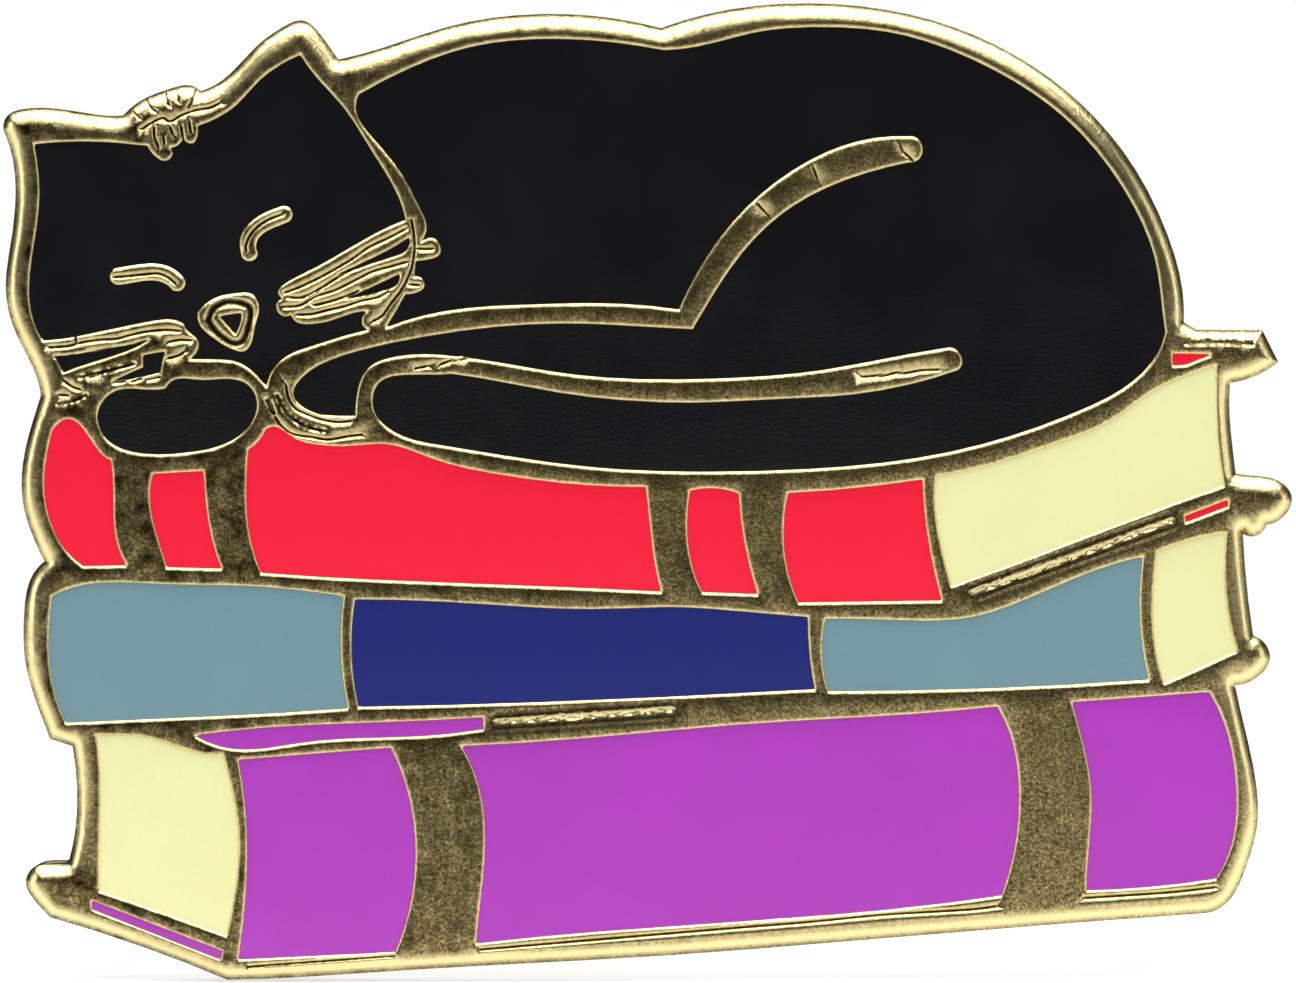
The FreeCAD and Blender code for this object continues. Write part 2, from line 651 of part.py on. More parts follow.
def build_disc(name, x):
    """Round base plate with a rolled rim and a lip that holds the cage's flange."""
    body = add_body(name, x, size("cloth_gap"))
    t = size("disc_sheet")
    radius = size("disc_radius")
    top = size("disc_rim_height")
    hole = size("clutch_hole_radius")
    roll = size("disc_roll_width")
    inner = size("lip_inner_radius")
    outer = size("lip_outer_radius")
    wall = size("flange_radius") + size("flange_clearance")
    under_lip = t + size("swivel_gap") * 2 + size("flange_sheet")
    over_lip = under_lip + size("lip_sheet")
    profile = outline_curves([
        [(hole, 0), (radius - 0.3, 0)],
        [(radius - 0.06, 0.12), (radius, 0.4)],
        [(radius, top - 0.1)],
        [(radius - roll / 2, top), (radius - roll, top - 0.1)],
        [(radius - roll - 0.02, 0.55)],
        [(radius - 0.43, 0.4), (radius - 0.6, t)],
        [(outer, t)],
        [(outer, under_lip + 0.02)],
        [(outer - 0.08, over_lip - 0.04), (outer - 0.25, over_lip)],
        [(inner, over_lip)],
        [(inner, under_lip)],
        [(wall, under_lip)],
        [(wall, t)],
        [(hole, t)],
        [(hole, 0)],
    ])
    add_turned(body, profile)


def build_cage(name, x):
    """Bridge of folded sheet on a round flange; the clip runs through it along X."""
    body = add_body(name, x, size("cloth_gap"))
    t = size("flange_sheet")
    foot = size("disc_sheet") + size("swivel_gap")
    hole = size("clutch_hole_radius")
    flange = outline_curves([
        [(hole, foot), (size("flange_radius"), foot)],
        [(size("flange_radius"), foot + t)],
        [(hole, foot + t)],
        [(hole, foot)],
    ])
    add_turned(body, flange)
    # arch of the bridge, drawn looking along X: sketch x is Y here and sketch y is Z
    inside = size("cage_half_gap")
    outside = inside + t
    top = size("cage_top")
    bend = size("sheet_bend_radius")
    cut = bend * (1 - math.sqrt(0.5))
    small = bend - t
    small_cut = small * (1 - math.sqrt(0.5))
    arch = outline_curves([
        [(foot, -outside), (top - bend, -outside)],
        [(top - cut, -outside + cut), (top, -outside + bend)],
        [(top, outside - bend)],
        [(top - cut, outside - cut), (top - bend, outside)],
        [(foot, outside)],
        [(foot, inside)],
        [(top - bend, inside)],
        [(top - t - small_cut, inside - small_cut), (top - t, inside - small)],
        [(top - t, -inside + small)],
        [(top - t - small_cut, -inside + small_cut), (top - bend, -inside)],
        [(foot, -inside)],
        [(foot, -outside)],
    ])
    add_pad(body, add_sketch(body, "YZ_Plane", arch), "2 * sizes.cage_half_length", both_ways=True)
    add_pocket(body, add_sketch(body, "XZ_Plane", [circle(0, 0, hole + 0.05)]))


def strip_curves(spine, thickness):
    """Closed profile of bent sheet from centre-line pieces.

    Each piece is ("line", start, end) or ("arc", centre, radius, from, to) in degrees.
    """
    half = thickness / 2
    near = []
    far = []
    ends = []
    for piece in spine:
        if piece[0] == "line":
            (x0, y0), (x1, y1) = piece[1], piece[2]
            length = math.hypot(x1 - x0, y1 - y0)
            nx = -(y1 - y0) / length * half
            ny = (x1 - x0) / length * half
            near.append(Part.LineSegment(V(x0 + nx, y0 + ny, 0), V(x1 + nx, y1 + ny, 0)))
            far.append(Part.LineSegment(V(x0 - nx, y0 - ny, 0), V(x1 - nx, y1 - ny, 0)))
            ends.append(((x0 + nx, y0 + ny), (x0 - nx, y0 - ny),
                         (x1 + nx, y1 + ny), (x1 - nx, y1 - ny)))
        else:
            (cx, cy), radius, start, stop = piece[1:]
            turn = 1 if stop > start else -1
            sides = []
            for reach in (radius - turn * half, radius + turn * half):
                pts = []
                for angle in (start, (start + stop) / 2, stop):
                    a = math.radians(angle)
                    pts.append((cx + reach * math.cos(a), cy + reach * math.sin(a)))
                sides.append(pts)
            near.append(Part.Arc(*[V(*p, 0) for p in sides[0]]))
            far.append(Part.Arc(*[V(*p, 0) for p in sides[1]]))
            ends.append((sides[0][0], sides[1][0], sides[0][2], sides[1][2]))
    first = Part.LineSegment(V(*ends[0][0], 0), V(*ends[0][1], 0))
    last = Part.LineSegment(V(*ends[-1][2], 0), V(*ends[-1][3], 0))
    return near + [last] + far[::-1] + [first]


def clip_heights():
    """Centre heights of the clip's flat bottom and of its two curls."""
    bottom = size("clip_bottom") + size("clip_sheet") / 2
    return bottom, bottom + size("low_curl_radius"), bottom + size("high_curl_radius")


def build_clip(name, x):
    """Bottom and both curls of the spring clip; the high curl has a window."""
    body = add_body(name, x, size("cloth_gap"))
    tilt = size("leaf_tilt")
    reach = size("clip_half_length")
    bottom, low, high = clip_heights()
    spine = [
        ("arc", (-reach, low), size("low_curl_radius"), 90 - tilt, 270),
        ("line", (-reach, bottom), (reach, bottom)),
        ("arc", (reach, high), size("high_curl_radius"), -90, 90 + tilt),
    ]
    sketch = add_sketch(body, "XY_Plane", strip_curves(spine, size("clip_sheet")))
    add_pad(body, sketch, "sizes.clip_width", both_ways=True)
    add_pocket(body, add_sketch(body, "XZ_Plane", [circle(0, 0, size("leaf_hole_radius") + 0.1)]))
    half = size("window_width") / 2
    foot = size("window_bottom")
    head = size("window_top")
    window = polygon_curves([(foot, -half), (head, -half), (head, half), (foot, half)])
    add_pocket(body, add_sketch(body, "YZ_Plane", window, "sizes.clip_half_length + 0.4"),
               backwards=True)


def leaf_spine(side, curl_radius, curl_height):
    """Centre line of a leaf from its curl, across the post and up into its wing."""
    tilt = math.radians(size("leaf_tilt"))
    bend = size("sheet_bend_radius")
    start_x = -size("clip_half_length") + curl_radius * math.sin(tilt)
    start_y = curl_height + curl_radius * math.cos(tilt)
    gap = size("leaf_gap")
    corner = (size("wing_bend"), start_y - (size("wing_bend") - start_x) * math.tan(tilt))
    tip = (size("wing_reach"), size("wing_top"))
    rise = math.atan2(tip[1] - corner[1], tip[0] - corner[0])
    # tangent points of the bend between the flat of the leaf and its wing
    back = bend * math.tan((rise + tilt) / 2)
    into = (corner[0] - back * math.cos(tilt), corner[1] + back * math.sin(tilt))
    out = (corner[0] + back * math.cos(rise), corner[1] + back * math.sin(rise))
    centre = (into[0] + bend * math.sin(tilt), into[1] + bend * math.cos(tilt))
    start = (start_x + gap * math.cos(tilt), start_y - gap * math.sin(tilt))
    pieces = [
        ("line", start, into),
        ("arc", centre, bend, -90 - math.degrees(tilt), -90 + math.degrees(rise)),
        ("line", out, tip),
    ]
    if side > 0:
        return pieces
    mirrored = []
    for piece in pieces:
        if piece[0] == "line":
            mirrored.append(("line", (-piece[1][0], piece[1][1]), (-piece[2][0], piece[2][1])))
        else:
            mirrored.append(("arc", (-piece[1][0], piece[1][1]), piece[2],
                             180 - piece[3], 180 - piece[4]))
    return mirrored


def build_leaf(name, x, side, curl_radius, curl_height, neck):
    """One leaf of the clip with its wing towards the given side of the post."""
    body = add_body(name, x, size("cloth_gap"))
    spine = leaf_spine(side, curl_radius, curl_height)
    sketch = add_sketch(body, "XY_Plane", strip_curves(spine, size("clip_sheet")))
    add_pad(body, sketch, "sizes.wing_width", both_ways=True)
    # seen along the post: strip, neck through the window, flared wing with round corners
    strip = size("clip_width") / 2
    wing = size("wing_width") / 2
    reach = size("wing_reach")
    corner = size("wing_corner")
    neck_start = size("neck_start")
    neck_end = size("neck_end")
    taper = 0.25
    flare = 0.3
    # the waste is cut away well clear of the leaf
    behind = 4.0
    beyond = reach + 0.6
    above = wing + 0.5
    cuts = []
    for up in (1, -1):
        cuts += outline_curves([
            [(-side * behind, up * strip), (side * (neck_start - taper), up * strip)],
            [(side * neck_start, up * neck)],
            [(side * neck_end, up * neck)],
            [(side * (neck_end + flare), up * strip), (side * size("wing_start"), up * wing)],
            [(side * (reach - corner / 2), up * (wing - corner / 10)),
             (side * (reach - corner / 20), up * (wing - corner * 0.7)),
             (side * (reach + corner / 5), up * (wing - corner))],
            [(side * beyond, up * (wing - corner))],
            [(side * beyond, up * above)],
            [(-side * behind, up * above)],
            [(-side * behind, up * strip)],
        ])
    cuts.append(circle(0, 0, size("leaf_hole_radius")))
    add_pocket(body, add_sketch(body, "XZ_Plane", cuts))


for side_name, side in (("left", -1), ("right", 1)):
    offset = side * size("post_offset")
    build_post("post_" + side_name, offset)
    build_solder("solder_" + side_name, offset)
    build_disc("clutch_disc_" + side_name, offset)
    build_cage("clutch_cage_" + side_name, offset)
    build_clip("clutch_clip_" + side_name, offset)
    low_height, high_height = clip_heights()[1:]
    build_leaf("clutch_low_leaf_" + side_name, offset, 1, size("low_curl_radius"), low_height,
               size("neck_width") / 2)
    build_leaf("clutch_high_leaf_" + side_name, offset, -1, size("high_curl_radius"),
               high_height, size("clip_width") / 2 - 0.1)

# ---------------------------------------------------------------- check and export

doc.recompute()
for item in doc.Objects:
    if "Invalid" in item.State or "Error" in item.State:
        raise ValueError("bad state: %s %s" % (item.Name, item.State))

os.makedirs("parts", exist_ok=True)
for body in doc.Objects:
    if body.TypeId != "PartDesign::Body":
        continue
    if body.Shape.isNull() or not body.Shape.isValid():
        raise ValueError("bad shape: " + body.Label)
    if len(body.Shape.Solids) != 1:
        raise ValueError("%s has %d solids" % (body.Label, len(body.Shape.Solids)))
    body.Shape.exportStep("parts/" + body.Label + ".step")
    box = body.Shape.BoundBox
    print("%-34s x %7.2f %7.2f  y %6.2f %6.2f  z %7.2f %7.2f  vol %8.3f" % (
        body.Label, box.XMin, box.XMax, box.YMin, box.YMax, box.ZMin, box.ZMax,
        body.Shape.Volume))
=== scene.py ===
"""Enamel pin of a black cat asleep on three books, built round its CAD frame.

The frame is in metres. The mesh code works in millimetres and turns them into metres
when a mesh is made. Flat outlines are arrays of (x, z) points, as seen from the front.
"""

import math

import bmesh
import bpy
import numpy as np
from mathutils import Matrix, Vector, geometry, kdtree, noise


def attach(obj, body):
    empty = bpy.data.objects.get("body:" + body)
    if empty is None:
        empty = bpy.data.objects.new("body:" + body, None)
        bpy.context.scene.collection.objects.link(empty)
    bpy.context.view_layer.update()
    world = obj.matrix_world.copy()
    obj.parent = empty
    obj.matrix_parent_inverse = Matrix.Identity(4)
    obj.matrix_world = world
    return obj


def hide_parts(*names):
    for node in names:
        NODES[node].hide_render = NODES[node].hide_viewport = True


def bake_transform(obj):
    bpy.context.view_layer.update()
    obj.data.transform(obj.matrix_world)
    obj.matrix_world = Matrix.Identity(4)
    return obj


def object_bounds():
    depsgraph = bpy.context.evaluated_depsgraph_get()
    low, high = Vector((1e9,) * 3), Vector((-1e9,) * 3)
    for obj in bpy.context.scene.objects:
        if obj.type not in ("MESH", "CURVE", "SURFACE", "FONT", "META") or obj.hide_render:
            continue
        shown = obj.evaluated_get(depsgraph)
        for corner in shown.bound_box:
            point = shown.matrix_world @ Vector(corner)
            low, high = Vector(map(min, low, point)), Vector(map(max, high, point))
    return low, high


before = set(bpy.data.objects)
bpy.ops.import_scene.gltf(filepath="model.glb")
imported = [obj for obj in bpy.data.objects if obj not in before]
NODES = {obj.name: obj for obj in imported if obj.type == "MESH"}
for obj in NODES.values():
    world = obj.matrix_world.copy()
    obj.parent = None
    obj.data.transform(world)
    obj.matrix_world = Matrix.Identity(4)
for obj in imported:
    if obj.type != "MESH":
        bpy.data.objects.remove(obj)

MM = 0.001
WELD = 2e-7
# edges sharper than this stay sharp, in degrees
BASE_SMOOTH, LATHE_SMOOTH, SHEET_SMOOTH = 60, 35, 40
CAD_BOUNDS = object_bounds()


# ------------ reading the frame

DIGITS, LEVEL_SLACK = 3, 0.004


def level_loops(node, y_level):
    """Closed outlines, as (n, 2) arrays, of a node's flat faces at one depth y."""
    mesh = NODES[node].data
    mesh.calc_loop_triangles()
    points = np.array([v.co for v in mesh.vertices]) / MM
    keys = {}
    places = []
    merged = []
    for p in points:
        key = tuple(round(c, DIGITS) for c in p)
        if key not in keys:
            keys[key] = len(places)
            places.append(p)
        merged.append(keys[key])
    after = {}
    for triangle in mesh.loop_triangles:
        corners = [merged[i] for i in triangle.vertices]
        if any(abs(places[c][1] - y_level) > LEVEL_SLACK for c in corners):
            continue
        for a, b in zip(corners, corners[1:] + corners[:1]):
            if (b, a) in after:
                del after[(b, a)]
            elif a != b:
                after[(a, b)] = True
    following = {a: b for a, b in after}
    loops = []
    while following:
        start = next(iter(following))
        loop = [start]
        step = following.pop(start)
        while step != start:
            loop.append(step)
            step = following.pop(step)
        loops.append(np.array([[places[i][0], places[i][2]] for i in loop]))
    return loops


# ------------ flat outlines

SPACING = 0.03
# a corner that opens by more than this turn, in radians, gets an arc with a step per turn
OPEN_TURN, ARC_TURN, LEAST_COSINE = 0.35, 0.4, 0.35
HEX_ROWS = 0.866
# least gaps, in mm: from an outline, from a mark and between two points
SPOT_GAP, RING_GAP, MARK_GAP, POINT_GAP = 0.02, 0.03, 0.015, 0.022
# how far a ring point may be off its distance, and the grid's gap, as shares and in mm
RING_SHARE, RING_SLACK, GRID_SHARE = 0.08, 0.003, 0.35
THIN_AREA = 1e-5


def area(loop):
    """Signed area, positive if the loop runs anticlockwise in (x, z)."""
    x, z = loop[:, 0], loop[:, 1]
    return 0.5 * float(np.sum(x * np.roll(z, -1) - np.roll(x, -1) * z))


def resample(loop, step, corner_degrees=22):
    """The loop with points spaced evenly at about one step between its corners."""
    before = loop - np.roll(loop, 1, axis=0)
    after = np.roll(loop, -1, axis=0) - loop
    turn = np.arctan2(before[:, 0] * after[:, 1] - before[:, 1] * after[:, 0],
                      np.sum(before * after, axis=1))
    corners = np.nonzero(np.abs(turn) > math.radians(corner_degrees))[0]
    if len(corners) == 0:
        corners = np.array([0])
    loop = np.roll(loop, -corners[0], axis=0)
    corners = list(corners - corners[0]) + [len(loop)]
    closed = np.vstack([loop, loop[:1]])
    out = []
    for first, last in zip(corners, corners[1:]):
        run = closed[first:last + 1]
        along = np.concatenate([[0], np.cumsum(np.hypot(*np.diff(run, axis=0).T))])
        count = max(1, round(along[-1] / step))
        places = np.linspace(0, along[-1], count + 1)[:-1]
        out.append(np.column_stack([np.interp(places, along, run[:, k]) for k in (0, 1)]))
    return np.vstack(out)


def inside(points, loops):
    """True for each point that lies inside an odd number of the loops."""
    odd = np.zeros(len(points), bool)
    x, z = points[:, 0], points[:, 1]
    for loop in loops:
        low, high = loop.min(0), loop.max(0)
        near = np.nonzero((x > low[0]) & (x < high[0]) & (z > low[1]) & (z < high[1]))[0]
        if len(near) == 0:
            continue
        px, pz = x[near], z[near]
        x0, z0 = loop[:, 0], loop[:, 1]
        x1, z1 = np.roll(x0, -1), np.roll(z0, -1)
        crossings = np.zeros(len(near), int)
        for a, b, c, d in zip(x0, z0, x1, z1):
            if b == d:
                continue
            spans = (b > pz) != (d > pz)
            crossings += spans & (px < (c - a) * (pz - b) / (d - b) + a)
        odd[near] ^= crossings % 2 == 1
    return odd


class Edges:
    """Distance from any point to a set of outlines, closed unless told otherwise."""

    def __init__(self, loops, closed=True):
        starts, ends = [], []
        for loop in loops:
            following = np.roll(loop, -1, axis=0)
            for a, b in list(zip(loop, following))[:None if closed else -1]:
                count = max(1, math.ceil(math.hypot(*(b - a)) / SPACING))
                places = a + (b - a) * np.linspace(0, 1, count + 1)[:, None]
                starts.append(places[:-1])
                ends.append(places[1:])
        self.starts = np.vstack(starts)
        self.ends = np.vstack(ends)
        self.tree = kdtree.KDTree(len(self.starts))
        for index, (x, z) in enumerate((self.starts + self.ends) / 2):
            self.tree.insert((x, z, 0), index)
        self.tree.balance()

    def distance(self, points):
        if len(points) == 0:
            return np.zeros(0)
        found = [[hit[1] for hit in self.tree.find_n((x, z, 0), 2)] for x, z in points]
        nearest = np.full(len(points), np.inf)
        for column in np.array(found).reshape(len(points), -1).T:
            a, b = self.starts[column], self.ends[column]
            along = np.sum((points - a) * (b - a), axis=1) / np.sum((b - a) ** 2, axis=1)
            foot = a + (b - a) * np.clip(along, 0, 1)[:, None]
            nearest = np.minimum(nearest, np.hypot(*(points - foot).T))
        return nearest


def ring_points(loop, region_inside, distances):
    """Points at each distance from the loop, on the region's side of it."""
    if (area(loop) > 0) != region_inside:
        loop = loop[::-1]
    # the region now lies to the left of the way the loop runs
    step = np.roll(loop, -1, axis=0) - loop
    step /= np.hypot(step[:, 0], step[:, 1])[:, None] + 1e-12
    normal = np.column_stack([-step[:, 1], step[:, 0]])
    angle_out = np.arctan2(normal[:, 1], normal[:, 0])
    angle_in = np.roll(angle_out, 1)
    turn = (angle_out - angle_in + math.pi) % (2 * math.pi) - math.pi
    rings = []
    for distance in distances:
        ring = []
        for point, start, change in zip(loop, angle_in, turn):
            if change < -OPEN_TURN:
                # the region opens round this corner, so the ring is an arc
                count = max(2, int(-change / ARC_TURN) + 1)
                angles = start + change * np.linspace(0, 1, count)
                reach = distance
            else:
                angles = np.array([start + change / 2])
                reach = distance / max(math.cos(change / 2), LEAST_COSINE)
            ring.append(np.column_stack([point[0] + reach * np.cos(angles),
                                         point[1] + reach * np.sin(angles)]))
        rings.append(np.vstack(ring))
    return rings


def thin_out(points, gap):
    """The points in order, without those nearer than about a gap to an earlier one."""
    taken = {}
    kept = []
    for x, z in points:
        cx, cz = int(math.floor(x / gap)), int(math.floor(z / gap))
        close = any((x - a) ** 2 + (z - b) ** 2 < gap * gap
                    for i in (cx - 1, cx, cx + 1) for j in (cz - 1, cz, cz + 1)
                    for a, b in taken.get((i, j), ()))
        if not close:
            taken.setdefault((cx, cz), []).append((x, z))
            kept.append((x, z))
    return np.array(kept).reshape(-1, 2)


def hex_grid(low, high, pitch):
    """Points of a hexagonal grid over a box."""
    rows = np.arange(low[1], high[1], pitch * HEX_ROWS)
    grid = []
    for number, z in enumerate(rows):
        x = np.arange(low[0] + (number % 2) * pitch / 2, high[0], pitch)
        grid.append(np.column_stack([x, np.full(len(x), z)]))
    return np.vstack(grid)


class Region:
    """A flat region between closed outlines, filled with triangles.

    rings are the distances from every outline at which it gets a ring of points, and
    ring_sets has such distances for each outline. marks are closed lines inside the region
    that triangles must follow, and spots are extra points.
    """

    def __init__(self, loops, rings=(), pitch=None, ring_sets=None, marks=(), mark_rings=(),
                 spots=None):
        self.loops = loops
        self.edges = Edges(loops)
        ring_sets = ring_sets or [rings] * len(loops)
        extra = []
        if spots is not None:
            spots = spots[inside(spots, loops)]
            extra.append(spots[self.edges.distance(spots) > SPOT_GAP])
        for mark in marks:
            for side in (True, False):
                for ring in ring_points(mark, side, mark_rings):
                    ring = ring[inside(ring, loops)]
                    extra.append(ring[self.edges.distance(ring) > RING_GAP])
        for index, loop in enumerate(loops):
            others = [l for k, l in enumerate(loops) if k != index]
            middle = loop[:1] + 1e-6
            enclosed = bool(inside(middle, others)[0])
            distances = ring_sets[index]
            for distance, ring in zip(distances, ring_points(loop, not enclosed, distances)):
                ring = ring[inside(ring, loops)]
                off = np.abs(self.edges.distance(ring) - distance)
                extra.append(ring[off < RING_SHARE * distance + RING_SLACK])
        if pitch:
            corners = np.vstack(loops)
            grid = hex_grid(corners.min(0), corners.max(0), pitch)
            grid = grid[inside(grid, loops)]
            widest = max(max(distances, default=0) for distances in ring_sets)
            extra.append(grid[self.edges.distance(grid) > widest + GRID_SHARE * pitch])
        extra = [e for e in extra if len(e)]
        inner = thin_out(np.vstack(extra), POINT_GAP) if extra else np.zeros((0, 2))
        if marks and len(inner):
            inner = inner[Edges(marks).distance(inner) > MARK_GAP]
        points = np.vstack([*loops, *marks, inner])
        links = []
        start = 0
        self.starts = []
        for line in [*loops, *marks]:
            self.starts.append(start)
            count = len(line)
            links += [(start + i, start + (i + 1) % count) for i in range(count)]
            start += count
        found, _, faces, origin = geometry.delaunay_2d_cdt(
            [Vector(p) for p in points], links, [], 0, 1e-7)[:4]
        self.points = np.array([tuple(v) for v in found])
        self.index = {}
        for new, olds in enumerate(origin):
            for old in olds:
                self.index[old] = new
        faces = np.array([f for f in faces if len(set(f)) == 3])
        a, b, c = (self.points[faces[:, k]] for k in range(3))
        signed = (b - a)[:, 0] * (c - a)[:, 1] - (b - a)[:, 1] * (c - a)[:, 0]
        faces[signed < 0] = faces[signed < 0][:, ::-1]
        self.faces = faces[self.enclosed(faces, np.abs(signed))]

    def enclosed(self, faces, areas):
        """True for each triangle in the region.

        Each patch that the outlines bound is tested by its largest triangle. A patch too
        thin to test is on the other side of an outline from the patch next to it.
        """
        walls = set()
        for number in range(len(self.loops)):
            ring = self.boundary(number)
            walls.update((min(p), max(p)) for p in zip(ring, ring[1:] + ring[:1]))
        sharing = {}
        for number, (i, j, k) in enumerate(faces.tolist()):
            for pair in ((i, j), (j, k), (k, i)):
                sharing.setdefault((min(pair), max(pair)), []).append(number)
        beside_it = [[] for _ in faces]
        for pair, users in sharing.items():
            if len(users) == 2 and pair not in walls:
                beside_it[users[0]].append(users[1])
                beside_it[users[1]].append(users[0])
        patch = np.full(len(faces), -1)
        largest = []
        for seed in range(len(faces)):
            if patch[seed] >= 0:
                continue
            patch[seed] = len(largest)
            waiting, best = [seed], seed
            while waiting:
                face = waiting.pop()
                best = face if areas[face] > areas[best] else best
                for other in beside_it[face]:
                    if patch[other] < 0:
                        patch[other] = patch[seed]
                        waiting.append(other)
            largest.append(best)
        within = inside(self.points[faces[largest]].mean(axis=1), self.loops)
        thin = areas[largest] < THIN_AREA
        for pair, users in sharing.items():
            for number, user in enumerate(users):
                if not thin[patch[user]]:
                    continue
                across = patch[users[1 - number]] if len(users) == 2 else None
                if pair in walls and (across is None or not thin[across]):
                    within[patch[user]] = across is None or not within[across]
                elif across is None:
                    within[patch[user]] = False
        return within[patch]

    def boundary(self, number):
        """Indices, in order, of the points on one of the outlines."""
        start = self.starts[number]
        return [self.index[start + i] for i in range(len(self.loops[number]))]


class Shell:
    """Collects vertices and faces of a solid, in millimetres."""

    def __init__(self):
        self.vertices = []
        self.faces = []
        self.values = []
        self.count = 0

    def add_points(self, vertices, value=None):
        """Adds vertices and returns the index of the first."""
        start = self.count
        self.vertices.append(vertices)
        self.values.append(np.zeros(len(vertices)) if value is None else value)
        self.count += len(vertices)
        return start

    def add_sheet(self, region, vertices, forward, value=None):
        """Adds a region's triangles at these vertices. Returns the indices of its outlines."""
        start = self.add_points(vertices, value)
        faces = region.faces if forward else region.faces[:, ::-1]
        self.faces += [[start + i for i in face] for face in faces.tolist()]
        return [[start + i for i in region.boundary(k)] for k in range(len(region.loops))]

    def add_region(self, region, depth, facing_front, value=None):
        """Adds a flat region at depth y (one number, or one for each point)."""
        # triangles run anticlockwise in (x, z) as seen from the front, which is from -Y
        x, z = region.points.T
        vertices = np.column_stack([x, np.broadcast_to(depth, x.shape), z])
        return self.add_sheet(region, vertices, facing_front, value)

    def add_ring(self, loop, depth):
        """Adds the points of one outline at a depth."""
        x, z = loop.T
        start = self.add_points(np.column_stack([x, np.full(len(loop), depth), z]))
        return list(range(start, self.count))

    def join(self, loop, front, back, solid_inside):
        """Wall between the points of one outline on a front and on a back level."""
        outward = (area(loop) > 0) == solid_inside
        for i in range(len(front)):
            j = (i + 1) % len(front)
            face = [front[i], back[i], back[j], front[j]]
            self.faces.append(face if outward else face[::-1])

    def build(self, name, degrees, value_name=None):
        """Makes the object, in metres."""
        vertices = np.vstack(self.vertices) * MM
        mesh = bpy.data.meshes.new(name)
        mesh.from_pydata(vertices.tolist(), [], self.faces)
        if value_name:
            attribute = mesh.attributes.new(value_name, "FLOAT", "POINT")
            attribute.data.foreach_set("value", np.concatenate(self.values).astype(np.float32))
        return finish_mesh(name, mesh, degrees)


def new_object(name, data):
    obj = bpy.data.objects.new(name, data)
    bpy.context.scene.collection.objects.link(obj)
    return obj


def finish_mesh(name, mesh, degrees):
    """Smooth shading with sharp edges past an angle, or none at 0, in a new object."""
    work = bmesh.new()
    work.from_mesh(mesh)
    bmesh.ops.remove_doubles(work, verts=work.verts, dist=WELD)
    bmesh.ops.delete(work, geom=[e for e in work.edges if not e.link_faces], context="EDGES")
    work.to_mesh(mesh)
    work.free()
    mesh.polygons.foreach_set("use_smooth", [degrees > 0] * len(mesh.polygons))
    if degrees:
        mesh.set_sharp_from_angle(angle=math.radians(degrees))
    mesh.update()
    return new_object(name, mesh)


# ------------ the struck base

# depths y of the levels
FRONT, BACK, CELL_FLOOR, ENAMEL_TOP = -1.6, 0.0, -1.0, -1.54
GROOVE_FLOOR, SEAT_FLOOR = -1.45, -0.15
STEP, SEAT_STEP, LEAST_GROOVE = 0.08, 0.12, 0.02
# the front's rounded edges: how far they fall and over what width, where the rim's painted
# highlight ends, and how wide the painted shade on its outer wall is
SHOULDER_DROP, SHOULDER_WIDTH = 0.06, 0.1
RIM_DROP, RIM_WIDTH, CROWN_WIDTH, WALL_WIDTH = 0.27, 0.46, 0.22, 0.17
# relief, which the gold reads as painted light: 0 a painted highlight on an edge, 1 painted shade
# on a flat, 2 darker painted shade in the bottom of a line
WALL_RELIEF, LINE_RELIEF, GROOVE_RELIEF = 0.95, 2.0, 1.7
# the ditches beside threads get painted shade, and the threads nearly a painted highlight
DITCH_RELIEF, THREAD_RELIEF = 1.8, 0.3
# the CAD's grooves: their rounded lips, and how deep they are at the wall and in the middle
LIP_DROP, LIP_WIDTH = 0.03, 0.06
GROOVE_WALL_DROP, GROOVE_DEPTH, GROOVE_WALL_WIDTH = 0.02, 0.07, 0.05
# the back
BACK_RADIUS, STIPPLE_SCALE, STIPPLE_BIAS, STIPPLE_DEPTH = 0.1, 2.6, 0.35, 0.03
STIPPLE_START, STIPPLE_RAMP = 0.1, 0.3

cell_loops = {name: [resample(loop, STEP) for loop in level_loops(name, ENAMEL_TOP)]
              for name in NODES if name.startswith("enamel_")}
base_back_loops = sorted(level_loops("die_struck_base", BACK), key=lambda l: -abs(area(l)))
silhouette = resample(base_back_loops[0], STEP)
seats = [resample(loop, SEAT_STEP) for loop in base_back_loops[1:]]
grooves = [resample(loop, STEP) for loop in level_loops("die_struck_base", GROOVE_FLOOR)
           if abs(area(loop)) > LEAST_GROOVE]

